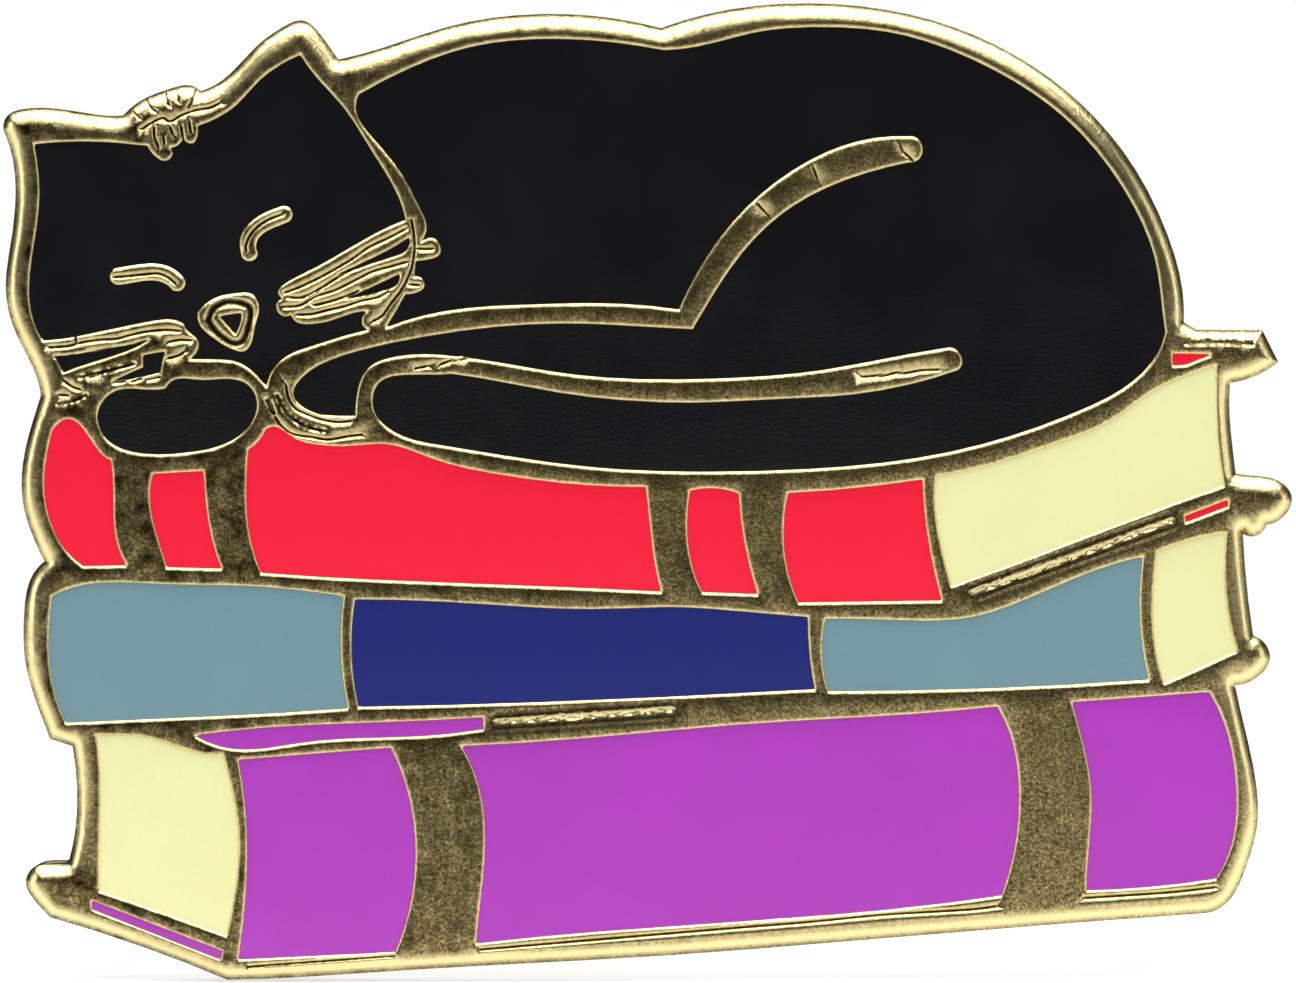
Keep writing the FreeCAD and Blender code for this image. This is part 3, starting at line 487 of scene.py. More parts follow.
# lines struck in the gold, as (x, z) points
ENGRAVED = (
    # right whiskers, from the top one down
    ((-9.1, 4.97), (-8.7, 5.12), (-8.2, 5.36), (-7.8, 5.58), (-7.4, 5.82), (-7.0, 6.1),
     (-6.5, 6.34), (-6.08, 6.56)),
    ((-9.0, 4.86), (-8.65, 4.86), (-8.2, 5.08), (-7.85, 5.3), (-7.4, 5.56), (-6.95, 5.76)),
    ((-9.08, 4.62), (-8.7, 4.66), (-8.3, 4.88), (-7.8, 5.05), (-7.3, 5.3), (-6.9, 5.5),
     (-6.4, 5.64), (-6.05, 5.74)),
    ((-8.35, 4.66), (-8.0, 4.74), (-7.6, 4.87), (-7.25, 5.02)),
    ((-8.78, 4.42), (-8.4, 4.44), (-8.0, 4.54), (-7.6, 4.63), (-7.2, 4.76), (-6.75, 4.86),
     (-6.5, 5.0)),
    ((-5.92, 6.8), (-5.86, 6.45), (-5.84, 6.07), (-5.9, 5.65), (-6.03, 5.3), (-6.2, 5.0),
     (-6.42, 4.72), (-6.65, 4.4), (-6.9, 4.25)),
    ((-5.8, 6.07), (-5.4, 6.07)),
    ((-5.95, 5.18), (-5.72, 5.16)),
    # left whiskers
    ((-14.98, 3.6), (-14.5, 3.64), (-14.1, 3.74), (-13.65, 3.8), (-13.3, 3.82), (-13.0, 3.9),
     (-12.6, 3.99), (-12.1, 4.04), (-11.72, 4.02)),
    ((-14.82, 3.36), (-14.4, 3.38), (-14.0, 3.46), (-13.5, 3.56), (-13.0, 3.62)),
    ((-14.32, 3.96), (-14.3, 3.7)),
    ((-12.0, 3.74), (-11.7, 3.79), (-11.42, 3.78)),
    ((-12.0, 3.33), (-11.75, 3.4), (-11.6, 3.5)),
    ((-14.62, 2.78), (-14.4, 2.62), (-14.2, 2.55)),
    ((-13.98, 2.86), (-13.75, 2.92)),
    ((-14.72, 2.42), (-14.5, 2.4)),
    # tuft between the ears
    ((-12.52, 9.78), (-12.42, 9.6), (-12.3, 9.5)),
    ((-12.06, 9.98), (-12.02, 9.8), (-11.97, 9.66)),
    ((-11.76, 9.94), (-11.72, 9.76)),
    ((-12.86, 9.5), (-12.7, 9.34)),
    ((-11.33, 10.02), (-11.4, 9.8), (-11.5, 9.6)),
    ((-12.66, 9.06), (-12.45, 9.2), (-12.15, 9.34), (-11.95, 9.26), (-11.65, 9.42),
     (-11.3, 9.54), (-10.95, 9.6), (-10.7, 9.72)),
    ((-12.36, 9.12), (-12.34, 8.86), (-12.24, 8.6)),
    ((-12.12, 8.86), (-12.1, 8.68)),
    ((-11.96, 9.12), (-11.88, 8.92)),
    ((-11.68, 9.14), (-11.64, 8.86)),
    ((-11.48, 9.28), (-11.44, 8.98)),
    # between the rim and the purple book
    ((-10.0, -11.89), (-8.0, -11.74), (-6.35, -11.62)),
    ((-4.2, -11.46), (-2.0, -11.27), (2.0, -10.93), (4.0, -10.77), (6.0, -10.58),
     (8.0, -10.46), (8.75, -10.37)),
    ((10.9, -10.17), (13.0, -10.03), (14.2, -9.9)),
    # eyelids
    ((-13.35, 5.36), (-13.0, 5.39), (-12.6, 5.43), (-12.25, 5.45), (-12.0, 5.35), (-11.82, 5.2)),
    ((-10.05, 6.0), (-10.05, 6.2), (-9.87, 6.52), (-9.53, 6.78), (-9.16, 6.93)),
    # marks across the line of the haunch
    ((4.12, 8.12), (4.22, 7.86)),
    ((2.74, 7.2), (2.93, 6.98)),
    ((6.38, 8.5), (6.5, 8.4), (6.62, 8.28)),
    # chest, between the paw and the tail
    ((-9.06, 2.66), (-8.99, 2.34), (-8.82, 2.08), (-8.5, 1.92), (-8.2, 1.81), (-7.8, 1.74),
     (-7.42, 1.76)),
    ((-9.42, 2.2), (-9.33, 1.88), (-9.14, 1.62), (-8.85, 1.43), (-8.4, 1.36), (-8.0, 1.3),
     (-7.5, 1.38), (-7.15, 1.42)),
)
ENGRAVED_DEPTH, ENGRAVED_WIDTH = 0.07, 0.08
# a line has painted shade to here from its middle, and then a painted highlight for this width
LINE_DARK, LINE_BRIGHT = 0.05, 0.07
# a broader valley round the nose, and how far its flat bottom reaches to each side
BROAD = (
    ((-11.0, 4.28), (-10.86, 4.58), (-10.5, 4.74), (-9.98, 4.62), (-9.98, 4.2),
     (-10.14, 3.78), (-10.42, 3.72), (-10.8, 4.0), (-11.0, 4.28)),
)
BROAD_BOTTOM = 0.05
# broken lines, as start, end and number of dashes: engraved, and raised between ditches
DASHED = (
    ((5.3, 2.86), (7.5, 3.08), 4),
    ((-13.4, 2.72), (-12.1, 2.86), 3),
    ((-5.9, 3.06), (-4.1, 3.42), 3),
)
BEADED = (
    ((8.1, -2.52), (13.1, -0.72), 10),
    ((-3.8, -5.76), (0.6, -5.45), 9),
)
BEAD_RADIUS, THREAD_RADIUS = 0.09, 0.09
# the ditch beside a thread, from its middle: where it falls and rises, and over what width
DITCH_START, DITCH_RAMP, DITCH_STOP, DITCH_STOP_RAMP = 0.07, 0.04, 0.19, 0.06
DITCH_DROP, DITCH_REACH = 0.03, 0.26
# rows of mesh points beside each line, at these distances
LINE_ROWS = (0, 0.04, -0.04, 0.08, -0.08)
BROAD_ROWS = (0.12, -0.12)
THREAD_ROWS = (0.1, 0.15, 0.2, 0.26, -0.1, -0.15, -0.2, -0.26)

def curved(points, step=0.04):
    """Points a step apart on a smooth open curve through the given ones."""
    points = np.array(points)
    before = np.vstack([2 * points[:1] - points[1:2], points[:-1]])
    after = np.vstack([points[1:], 2 * points[-1:] - points[-2:-1]])
    slopes = (after - before) / 2
    out = []
    for a, b, u, v in zip(points, points[1:], slopes, slopes[1:]):
        count = max(2, math.ceil(math.hypot(*(b - a)) / step))
        t = np.linspace(0, 1, count + 1)[:-1, None]
        out.append(a * (2 * t ** 3 - 3 * t ** 2 + 1) + b * (3 * t ** 2 - 2 * t ** 3)
                   + u * (t ** 3 - 2 * t ** 2 + t) + v * (t ** 3 - t ** 2))
    return np.vstack(out + [points[-1:]])


def dashes(start, end, count):
    """Strokes along a line, of uneven length and a little out of true."""
    start = np.array(start)
    step = (np.array(end) - start) / count
    across = np.array([-step[1], step[0]]) / math.hypot(*step)
    strokes = []
    for number in range(count):
        first = start + step * (number + 0.1 + 0.08 * math.sin(2.3 * number))
        last = start + step * (number + 0.68 + 0.08 * math.sin(3.7 * number))
        lean = 0.025 * math.sin(5.1 * number) * across
        strokes.append(np.linspace(first + lean, last - lean, 6))
    return strokes


def beside(line, offset):
    """Points of an open line moved sideways."""
    along = np.gradient(line, axis=0)
    along /= np.hypot(*along.T)[:, None]
    return line + offset * np.column_stack([-along[:, 1], along[:, 0]])


def ease(distance, width, start=0.0):
    """Rises smoothly from 0 at the start to 1 a width further on."""
    t = np.clip((distance - start) / width, 0, 1)
    return t * t * (3 - 2 * t)


def round_drop(distance, radius):
    """How far a rounded edge falls below the flat, at each distance in from the edge."""
    reach = np.clip(radius - distance, 0, radius)
    return radius - np.sqrt(radius ** 2 - reach ** 2)


def shoulder(distance, drop, width):
    """How far a shoulder falls below the flat, at each distance in from its edge."""
    return drop * np.clip(1 - distance / width, 0, 1) ** 2


def struck_front(holes):
    """The front between the cells: its region, and each point's drop and relief, which sets its
    painted highlight and shade.
    """
    lines = [curved(points) for points in ENGRAVED]
    lines += [stroke for row in DASHED for stroke in dashes(*row)]
    broad = [curved(points) for points in BROAD]
    beads = [stroke for row in BEADED for stroke in dashes(*row)]
    threads = [np.linspace(start, end, 60) for start, end, _ in BEADED]
    spots = [beside(line, row) for row in LINE_ROWS for line in lines + broad + beads]
    spots += [beside(line, row) for row in BROAD_ROWS for line in broad]
    spots += [beside(line, row) for line in threads for row in THREAD_ROWS]
    ring_sets = [(0.03, 0.09, 0.16, 0.24, 0.34, 0.46)] + [(0.03, 0.06, 0.1)] * len(holes)
    front = Region([silhouette] + holes, ring_sets=ring_sets, pitch=0.3,
                   marks=grooves, mark_rings=(0.05,), spots=np.vstack(spots))

    points = front.points
    from_cell, from_rim, from_groove = (
        Edges(loops).distance(points) for loops in (holes, [silhouette], grooves))
    from_fine, from_broad, from_bead, from_thread = (
        Edges(runs, closed=False).distance(points) for runs in (lines, broad, beads, threads))
    from_line = np.minimum(from_fine, from_broad - BROAD_BOTTOM)
    drop = shoulder(from_cell, SHOULDER_DROP, SHOULDER_WIDTH)
    drop = np.maximum(drop, shoulder(from_rim, RIM_DROP, RIM_WIDTH))
    drop = np.maximum(drop, ENGRAVED_DEPTH * (1 - ease(from_line, ENGRAVED_WIDTH)))
    # a painted highlight on the shoulders of the cells, the rim and the edges of lines, and
    # painted shade on the flats
    relief = (ease(from_cell, SHOULDER_WIDTH)
              * ease(from_rim, RIM_WIDTH - CROWN_WIDTH, CROWN_WIDTH)
              * ease(from_line, LINE_BRIGHT, LINE_DARK))
    # painted shade on the outer wall, with the rim's painted highlight only on its crown
    relief = np.maximum(relief, WALL_RELIEF * (1 - ease(from_rim, WALL_WIDTH)))
    # darker painted shade in the bottom of a line
    relief = np.where(from_line < LINE_DARK,
                      LINE_RELIEF - LINE_RELIEF * ease(from_line, LINE_DARK), relief)

    within = inside(points, grooves)
    bead = 1 - ease(from_bead, BEAD_RADIUS)
    floor = GROOVE_WALL_DROP + GROOVE_DEPTH * ease(from_groove, GROOVE_WALL_WIDTH) * (1 - bead)
    drop = np.maximum(drop, np.where(within, floor, shoulder(from_groove, LIP_DROP, LIP_WIDTH)))
    # painted shade inside the grooves, and a painted highlight on their lips
    relief = np.where(within, GROOVE_RELIEF, relief * ease(from_groove, LIP_WIDTH))
    ditch = (ease(from_thread, DITCH_RAMP, DITCH_START)
             * (1 - ease(from_thread, DITCH_STOP_RAMP, DITCH_STOP)))
    drop = np.maximum(drop, DITCH_DROP * ditch)
    # painted shade in the ditches beside the threads, and a painted highlight on the threads and
    # their beads
    relief = np.where(from_thread < DITCH_REACH, np.maximum(relief, DITCH_RELIEF * ditch), relief)
    relief = np.where(from_thread < THREAD_RADIUS, THREAD_RELIEF * (1 - bead), relief)
    return front, drop, relief


def stippled_back():
    """The back between the post seats, and how far each point is sunk."""
    back = Region([silhouette] + seats, ring_sets=[(0.03, 0.07, 0.1)] + [(0.1,)] * len(seats),
                  pitch=0.24)
    sunk = round_drop(Edges([silhouette]).distance(back.points), BACK_RADIUS)
    stipple = np.array([noise.noise(Vector((x * STIPPLE_SCALE, z * STIPPLE_SCALE, 4.0)))
                        for x, z in back.points])
    sunk += (STIPPLE_DEPTH * np.clip(stipple + STIPPLE_BIAS, 0, 1)
             * ease(back.edges.distance(back.points), STIPPLE_RAMP, STIPPLE_START))
    return back, sunk


def build_base():
    holes = [loop for loops in cell_loops.values() for loop in loops]
    shell = Shell()
    front, drop, relief = struck_front(holes)
    front_edges = shell.add_region(front, FRONT + drop, True, relief)
    back, sunk = stippled_back()
    back_edges = shell.add_region(back, BACK - sunk, False, np.ones(len(back.points)))
    shell.join(silhouette, front_edges[0], back_edges[0], True)
    for hole, edge in zip(holes, front_edges[1:]):
        shell.join(hole, edge, shell.add_ring(hole, CELL_FLOOR), False)
    for loops in cell_loops.values():
        shell.add_region(Region(loops), CELL_FLOOR, True)
    for seat, edge in zip(seats, back_edges[1:]):
        floor = Region([seat])
        edges = shell.add_region(floor, SEAT_FLOOR, False, np.ones(len(floor.points)))
        shell.join(seat, edges[0], edge, False)
    return shell.build("base", BASE_SMOOTH, "relief")


def build_enamel(name):
    loops = cell_loops[name]
    shell = Shell()
    tops = shell.add_region(Region(loops, rings=(0.1,), pitch=0.7), ENAMEL_TOP, True)
    bottoms = shell.add_region(Region(loops), CELL_FLOOR, False)
    for loop, upper, lower in zip(loops, tops, bottoms):
        shell.join(loop, upper, lower, True)
    return shell.build(name.replace("enamel_", "fill_"), 0)


# ------------ materials

def linear(red, green, blue):
    """Scene colour of an sRGB one given from 0 to 255."""
    parts = [c / 255 for c in (red, green, blue)]
    return [c / 12.92 if c <= 0.04045 else ((c + 0.055) / 1.055) ** 2.4 for c in parts] + [1.0]


class Nodes:
    """A new material and short ways to add nodes to it."""

    def __init__(self, name):
        self.material = bpy.data.materials.new(name)
        self.material.use_nodes = True
        self.tree = self.material.node_tree
        self.shader = self.tree.nodes["Principled BSDF"]
        # object coordinates, in millimetres
        place = self.add("ShaderNodeTexCoord").outputs["Object"]
        scale = self.add("ShaderNodeVectorMath", operation="SCALE")
        scale.inputs["Scale"].default_value = 1000.0
        self.link(place, scale.inputs[0])
        self.place = scale.outputs[0]

    def add(self, kind, **settings):
        node = self.tree.nodes.new(kind)
        for key, value in settings.items():
            setattr(node, key, value)
        return node

    def link(self, source, target):
        self.tree.links.new(source, target)

    def stretched(self, factors, turn=0.0):
        """The place in millimetres, turned in the plane of the pin and scaled by factors."""
        mapping = self.add("ShaderNodeMapping")
        mapping.inputs["Scale"].default_value = factors
        mapping.inputs["Rotation"].default_value = (0.0, math.radians(turn), 0.0)
        self.link(self.place, mapping.inputs["Vector"])
        return mapping.outputs["Vector"]

    def noise(self, scale, detail=3.0, roughness=0.55, vector=None):
        node = self.add("ShaderNodeTexNoise")
        node.inputs["Scale"].default_value = scale
        node.inputs["Detail"].default_value = detail
        node.inputs["Roughness"].default_value = roughness
        self.link(vector or self.place, node.inputs["Vector"])
        return node.outputs["Fac"]

    def spread(self, value, low, high, to_low=0.0, to_high=1.0):
        """Value stretched from low..high to to_low..to_high, and clamped."""
        node = self.add("ShaderNodeMapRange")
        for key, number in (("From Min", low), ("From Max", high),
                            ("To Min", to_low), ("To Max", to_high)):
            node.inputs[key].default_value = number
        self.link(value, node.inputs["Value"])
        return node.outputs["Result"]

    def maths(self, operation, a, b):
        node = self.add("ShaderNodeMath", operation=operation)
        for socket, value in zip(node.inputs, (a, b)):
            if isinstance(value, (int, float)):
                socket.default_value = value
            else:
                self.link(value, socket)
        return node.outputs[0]

    def times(self, a, b):
        return self.maths("MULTIPLY", a, b)

    def mixed(self, factor, a, b):
        """Colour between a and b, each an sRGB triple or a socket."""
        node = self.add("ShaderNodeMix", data_type="RGBA")
        self.link(factor, node.inputs["Factor"])
        for socket, value in ((node.inputs[6], a), (node.inputs[7], b)):
            if isinstance(value, tuple):
                socket.default_value = linear(*value)
            else:
                self.link(value, socket)
        return node.outputs[2]

    def bump(self, height, distance_mm):
        node = self.add("ShaderNodeBump")
        node.inputs["Distance"].default_value = distance_mm * MM
        node.inputs["Strength"].default_value = 1.0
        self.link(height, node.inputs["Height"])
        self.link(node.outputs["Normal"], self.shader.inputs["Normal"])

    def set(self, **values):
        for key, value in values.items():
            socket = self.shader.inputs[key.replace("_", " ")]
            if isinstance(value, (int, float)):
                socket.default_value = value
            else:
                self.link(value, socket)


# how strongly stains, pits, painted glints on scratches and painted shade in the bottoms of lines
# show in the gold
STAIN, PIT, GLINT, RECESS_SHADE = 0.75, 0.6, 0.3, 0.9
PIT_COLOUR, RECESS_SHADE_COLOUR = (40, 32, 18), (30, 24, 14)


def gold_plate(name, painted_highlight_gold, painted_shade_gold, tarnish):
    """Plated metal with a painted highlight on its edges and painted shade on its flats, which
    are also scratched and mottled.
    """
    n = Nodes(name)
    relief = n.add("ShaderNodeAttribute", attribute_name="relief").outputs["Fac"]
    axes = n.add("ShaderNodeSeparateXYZ")
    n.link(n.place, axes.inputs[0])
    # painted shade on the flats, full on the front face and weaker on the back
    front = n.spread(axes.outputs["Y"], -1.0, -0.3, 1.0, 0.35)
    flat = n.times(n.spread(relief, 0.0, 1.0), front)
    # darker painted shade where relief is above 1, in lines, grooves and ditches
    deep = n.spread(relief, 1.0, 2.0)
    # blotches, stronger towards the left and weaker towards the right
    blotches = n.times(n.spread(n.noise(1.9, 6, 0.7), 0.36, 0.64),
                       n.spread(axes.outputs["X"], -13.0, 9.0, 1.5, 0.45))
    pits = n.spread(n.noise(7.0, 2, 0.5), 0.4, 0.32)
    grain = n.noise(13.0, 4, 0.75)
    streaks = n.spread(n.noise(1.0, 3, 0.6, n.stretched((17.0, 9.0, 1.1), 3)), 0.55, 0.75)
    scratches = n.times(streaks, n.spread(n.noise(0.7, 2), 0.45, 0.6))
    # painted shade on the flats, made uneven by the grain
    flat_shade_and_grain = n.times(flat, n.spread(grain, 0.38, 0.58, 0.45, 1.0))
    stain = n.times(flat, blotches)
    # painted highlight gold on the edges, painted shade gold on the flats
    colour = n.mixed(flat_shade_and_grain, painted_highlight_gold, painted_shade_gold)
    colour = n.mixed(n.times(stain, STAIN), colour, tarnish)
    colour = n.mixed(n.times(n.times(pits, flat), PIT), colour, PIT_COLOUR)
    # painted glints along the scratches
    colour = n.mixed(n.times(n.times(scratches, flat), GLINT), colour, painted_highlight_gold)
    colour = n.mixed(n.times(deep, RECESS_SHADE), colour, RECESS_SHADE_COLOUR)
    rough = n.maths("ADD", n.spread(grain, 0.3, 0.7, 0.12, 0.2), n.times(flat_shade_and_grain, 0.08))
    n.set(Base_Color=colour, Metallic=1.0,
          Roughness=n.maths("ADD", rough, n.times(scratches, 0.06)))
    n.bump(n.maths("ADD", grain, n.times(scratches, 0.4)), 0.008)
    return n.material


def plated(name, colour, shade, gloss, rub):
    """Bright plating with faint rub marks, cloudy patches and small pits."""
    n = Nodes(name)
    cloud = n.spread(n.noise(1.3, 4, 0.6), 0.35, 0.65)
    pits = n.spread(n.noise(16.0, 3, 0.7), 0.28, 0.4)
    rubs = n.spread(n.noise(1.0, 3, 0.6, n.stretched(rub, 12)), 0.4, 0.7)
    tone = n.mixed(n.times(n.maths("ADD", cloud, rubs), 0.5), colour, shade)
    rough = n.maths("ADD", n.spread(cloud, 0.0, 1.0, gloss, gloss + 0.1),
                    n.times(rubs, 0.08))
    n.set(Base_Color=tone, Metallic=1.0, Roughness=rough)
    n.bump(n.maths("ADD", pits, n.times(rubs, 0.4)), 0.006)
    return n.material


def enamel(name, colour, shade, gloss=0.2):
    """Ground and polished enamel: nearly even colour with a faint cloud and fine specks."""
    n = Nodes(name)
    cloud = n.spread(n.noise(0.45, 3), 0.3, 0.7)
    speck = n.spread(n.noise(14.0, 3, 0.6), 0.3, 0.7)
    mottle = n.maths("ADD", n.times(cloud, 0.6), n.times(speck, 0.4))
    n.set(Base_Color=n.mixed(mottle, colour, shade), Coat_Weight=0.3, IOR=1.5,
          Roughness=n.spread(cloud, 0.0, 1.0, gloss, gloss + 0.06),
          Coat_Roughness=n.spread(speck, 0.0, 1.0, 0.04, 0.12))
    n.bump(speck, 0.0008)
    return n.material


GOLD = gold_plate("gold_plate", (252, 234, 170), (122, 105, 61), (56, 45, 24))
PAINT = {
    "black": enamel("black_enamel", (8, 8, 11), (13, 13, 16), 0.14),
    "red": enamel("red_enamel", (252, 22, 60), (246, 18, 56)),
    "cream": enamel("cream_enamel", (244, 245, 182), (239, 239, 172)),
    "blue": enamel("light_blue_enamel", (118, 154, 163), (112, 148, 158)),
    "navy": enamel("navy_enamel", (4, 26, 118), (3, 22, 112)),
    "purple": enamel("purple_enamel", (180, 51, 192), (172, 48, 185)),
}
POST_PLATE = plated("post_plate", (224, 206, 150), (196, 176, 118), 0.16, (14.0, 1.2, 14.0))
SOLDER = plated("solder", (176, 174, 168), (134, 131, 124), 0.34, (3.0, 3.0, 3.0))
CLUTCH_PLATE = plated("clutch_plate", (236, 218, 162), (210, 190, 132), 0.14, (2.0, 9.0, 12.0))
CLIP_SPRING = plated("clip_spring", (226, 210, 160), (196, 178, 128), 0.18, (1.4, 9.0, 16.0))


# ------------ posts and clutches
# Profiles are (radius, y) and run anticlockwise round the metal.

CLOTH_GAP, POST_X = 3.4, 8.0
# solder is uneven above this y, and the other fillets have these radii
WOBBLE_FROM, POST_FILLET, DISH_FILLET = -0.12, 0.06, 0.05
# the spring in the plane across its wings, as (u, t) from the post and the disc's face
SHEET, TILT, SHEET_EDGE = 0.25, math.radians(8), 0.05
CLIP_BOTTOM, REACH, LOW_CURL, HIGH_CURL = 0.825, 2.2, 0.735, 1.235
LEAF_CORNER, LEAF_TIP, LEAF_BEND = 3.9, (5.65, 4.45), 0.45
STRIP, WING, LOW_NECK, HIGH_NECK = 1.3, 1.8, 0.75, 1.2
CLIP_HOLE, LEAF_HOLE, OVERLAP = 0.75, 0.65, 0.005
WINDOW_TURN, WINDOW_SIDE = (42.5, 124.0), 0.95


def lathe(name, x, profile, segments, wobble=0.0):
    """Solid turned about the axis of a post from a closed profile of (radius, y) points."""
    vertices, faces = [], []
    count = len(profile)
    for k in range(segments):
        angle = 2 * math.pi * k / segments
        for index, (r, y) in enumerate(profile):
            loose = wobble * (0.5 + 0.25 * math.sin(3 * angle + index)
                              + 0.25 * math.sin(7 * angle)) if y > WOBBLE_FROM else 0.0
            vertices.append(((x + (r - loose) * math.cos(angle)) * MM, y * MM,
                             (r - loose) * math.sin(angle) * MM))
    for k in range(segments):
        for i in range(count):
            a, b = k * count + i, k * count + (i + 1) % count
            c, d = (k + 1) % segments * count + (i + 1) % count, (k + 1) % segments * count + i
            faces.append((a, b, c, d))
    mesh = bpy.data.meshes.new(name)
    mesh.from_pydata(vertices, [], faces)
    return finish_mesh(name, mesh, LATHE_SMOOTH)


def rounded(profile, radius, steps=3):
    """A closed profile with its sharp corners rounded off."""
    out = []
    count = len(profile)
    for i, corner in enumerate(profile):
        here = np.array(corner)
        to_last = np.array(profile[i - 1]) - here
        to_next = np.array(profile[(i + 1) % count]) - here
        cosine = to_last @ to_next / (math.hypot(*to_last) * math.hypot(*to_next))
        if cosine < -0.9 or here[0] < 0.01:
            out.append(tuple(here))
            continue
        cut = min(radius, 0.45 * math.hypot(*to_last), 0.45 * math.hypot(*to_next))
        a = here + to_last / math.hypot(*to_last) * cut
        b = here + to_next / math.hypot(*to_next) * cut
        for t in np.linspace(0, 1, steps + 1):
            out.append(tuple((1 - t) ** 2 * a + 2 * t * (1 - t) * here + t ** 2 * b))
    return out


def arc(centre, radius, start, end, steps):
    """Points on a circle from one angle to another, in degrees."""
    return [(centre[0] + radius * math.cos(math.radians(a)),
             centre[1] + radius * math.sin(math.radians(a)))
            for a in np.linspace(start, end, steps)]


def build_post(side, x):
    profile = rounded([
        (0, SEAT_FLOOR), (2.0, SEAT_FLOOR), (2.0, 0.08), (1.88, 0.2), (0.62, 0.2), (0.55, 0.32),
        (0.55, 3.25), (0.5, 6.0), (0.36, 6.3), (0.36, 6.5), (0.5, 6.8), (0.46, 7.0),
        (0.32, 7.5), (0.14, 7.88), (0.0, 8.0)], POST_FILLET)
    post = lathe("post_and_pad_" + side, x, profile, 64)
    give(post, POST_PLATE)
    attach(post, "pin")
    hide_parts("post_" + side)
    ring = lathe("solder_ring_" + side, x, [
        (2.0, SEAT_FLOOR), (2.4, SEAT_FLOOR), (2.4, -0.12), (2.3, -0.085), (2.2, -0.055),
        (2.12, -0.03), (2.05, 0.015), (2.0, 0.05)], 96, 0.1)
    give(ring, SOLDER)
    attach(ring, "pin")
    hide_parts("solder_" + side)


def build_disc(side, x):
    """Pressed dish: rolled rim, a shallow bead and the lip folded over the cage's flange."""
    y = CLOTH_GAP
    inside_points = (
        (5.24, 0.44), (5.1, 0.36), (4.95, 0.35), (4.8, 0.36), (4.68, 0.43), (4.52, 0.46),
        (4.36, 0.43), (4.24, 0.36), (4.1, 0.35), (3.95, 0.35), (3.95, 0.78), (3.86, 0.92),
        (3.7, 0.95), (3.35, 0.95), (3.35, 0.71), (3.65, 0.71), (3.65, 0.35), (0.75, 0.35))
    profile = rounded([(0.75, y), (5.3, y)] + arc((5.35, y + 0.35), 0.35, -80, -5, 7)
                      + arc((5.5, y + 0.74), 0.2, -10, 190, 12)
                      + [(r, y + rise) for r, rise in inside_points], DISH_FILLET)
    disc = lathe("clutch_dish_" + side, x, profile, 160)
    give(disc, CLUTCH_PLATE)
    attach(disc, "disc_" + side)
    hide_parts("clutch_disc_" + side)


def path_of(points):
    """Distance along a path at each of its points."""
    points = np.array(points)
    return points, np.concatenate([[0], np.cumsum(np.hypot(*np.diff(points, axis=0).T))])


def leaf_path(curl_radius, side):
    """Curl and leaf of the spring as (u, t) points, and where its leaf begins.

    It is worked out for a leaf that runs towards +u, and mirrored for the other.
    """
    centre = (-REACH, CLIP_BOTTOM + curl_radius)
    curl = arc(centre, curl_radius, 270, 90 - math.degrees(TILT), 40)
    start = curl[-1]
    corner = (LEAF_CORNER, start[1] - (LEAF_CORNER - start[0]) * math.tan(TILT))
    rise = math.atan2(LEAF_TIP[1] - corner[1], LEAF_TIP[0] - corner[0])
    back = LEAF_BEND * math.tan((rise + TILT) / 2)
    into = (corner[0] - back * math.cos(TILT), corner[1] + back * math.sin(TILT))
    centre = (into[0] + LEAF_BEND * math.sin(TILT), into[1] + LEAF_BEND * math.cos(TILT))
    turn = arc(centre, LEAF_BEND, -90 - math.degrees(TILT), -90 + math.degrees(rise), 14)
    leaf = [tuple(p) for p in np.linspace(start, into, 30)[1:]]
    wing = [tuple(p) for p in np.linspace(turn[-1], LEAF_TIP, 14)[1:]]
    points = curl + leaf + turn[1:] + wing
    return [(side * u, t) for u, t in points], len(curl) - 1


def bent_sheet(name, x, points, outlines):
    """Sheet metal cut to flat outlines of (s, w) and bent along a path, with rounded edges."""
    points, along = path_of(points)
    tangent = np.gradient(points, along, axis=0)
    tangent /= np.hypot(*tangent.T)[:, None]
    pattern = Region(outlines, rings=(0.02, 0.06), pitch=0.16)
    s, w = pattern.points.T
    half = SHEET / 2 - 1.2 * np.clip(SHEET_EDGE - pattern.edges.distance(pattern.points), 0, 1)
    u, t = (np.interp(s, along, points[:, k]) for k in (0, 1))
    du, dt = (np.interp(s, along, tangent[:, k]) for k in (0, 1))
    shell = Shell()
    sides = [shell.add_sheet(pattern, np.column_stack([
        x + u - sign * half * dt, CLOTH_GAP + t + sign * half * du, w]), sign < 0)
        for sign in (1, -1)]
    for top, bottom, outline in zip(*sides, outlines):
        shell.join(outline, bottom, top, outline is not outlines[0])
    obj = shell.build(name, SHEET_SMOOTH)
    # walls and faces that disagree are turned to point out of the metal
    work = bmesh.new()
    work.from_mesh(obj.data)
    bmesh.ops.recalc_face_normals(work, faces=work.faces)
    work.to_mesh(obj.data)
    work.free()
    return obj


def ring_outline(s, radius):
    angles = [2 * math.pi * k / 40 for k in range(40)]
    return np.array([(s + radius * math.cos(a), radius * math.sin(a)) for a in angles])


def leaf_scale(u, along):
    """A function that turns a place u along a leaf into a distance s on its path."""
    return lambda place: float(np.interp(place, u, along))


def leaf_outline(first, at, neck):
    """Flat outline of a spring end, whose leaf_scale is at."""
    half = [(first, STRIP), (at(1.9), STRIP), (at(2.15), neck), (at(3.75), neck),
            (at(4.05), STRIP), (at(4.7), WING)]
    tip = at(LEAF_TIP[0])
    half += [(tip - 0.8, WING), (tip - 0.45, WING - 0.06), (tip - 0.15, WING - 0.35),
             (tip - 0.03, WING - 0.8)]
    outline = np.array(half + [(s, -w) for s, w in half[::-1]])
    return resample(outline, 0.1, 12)


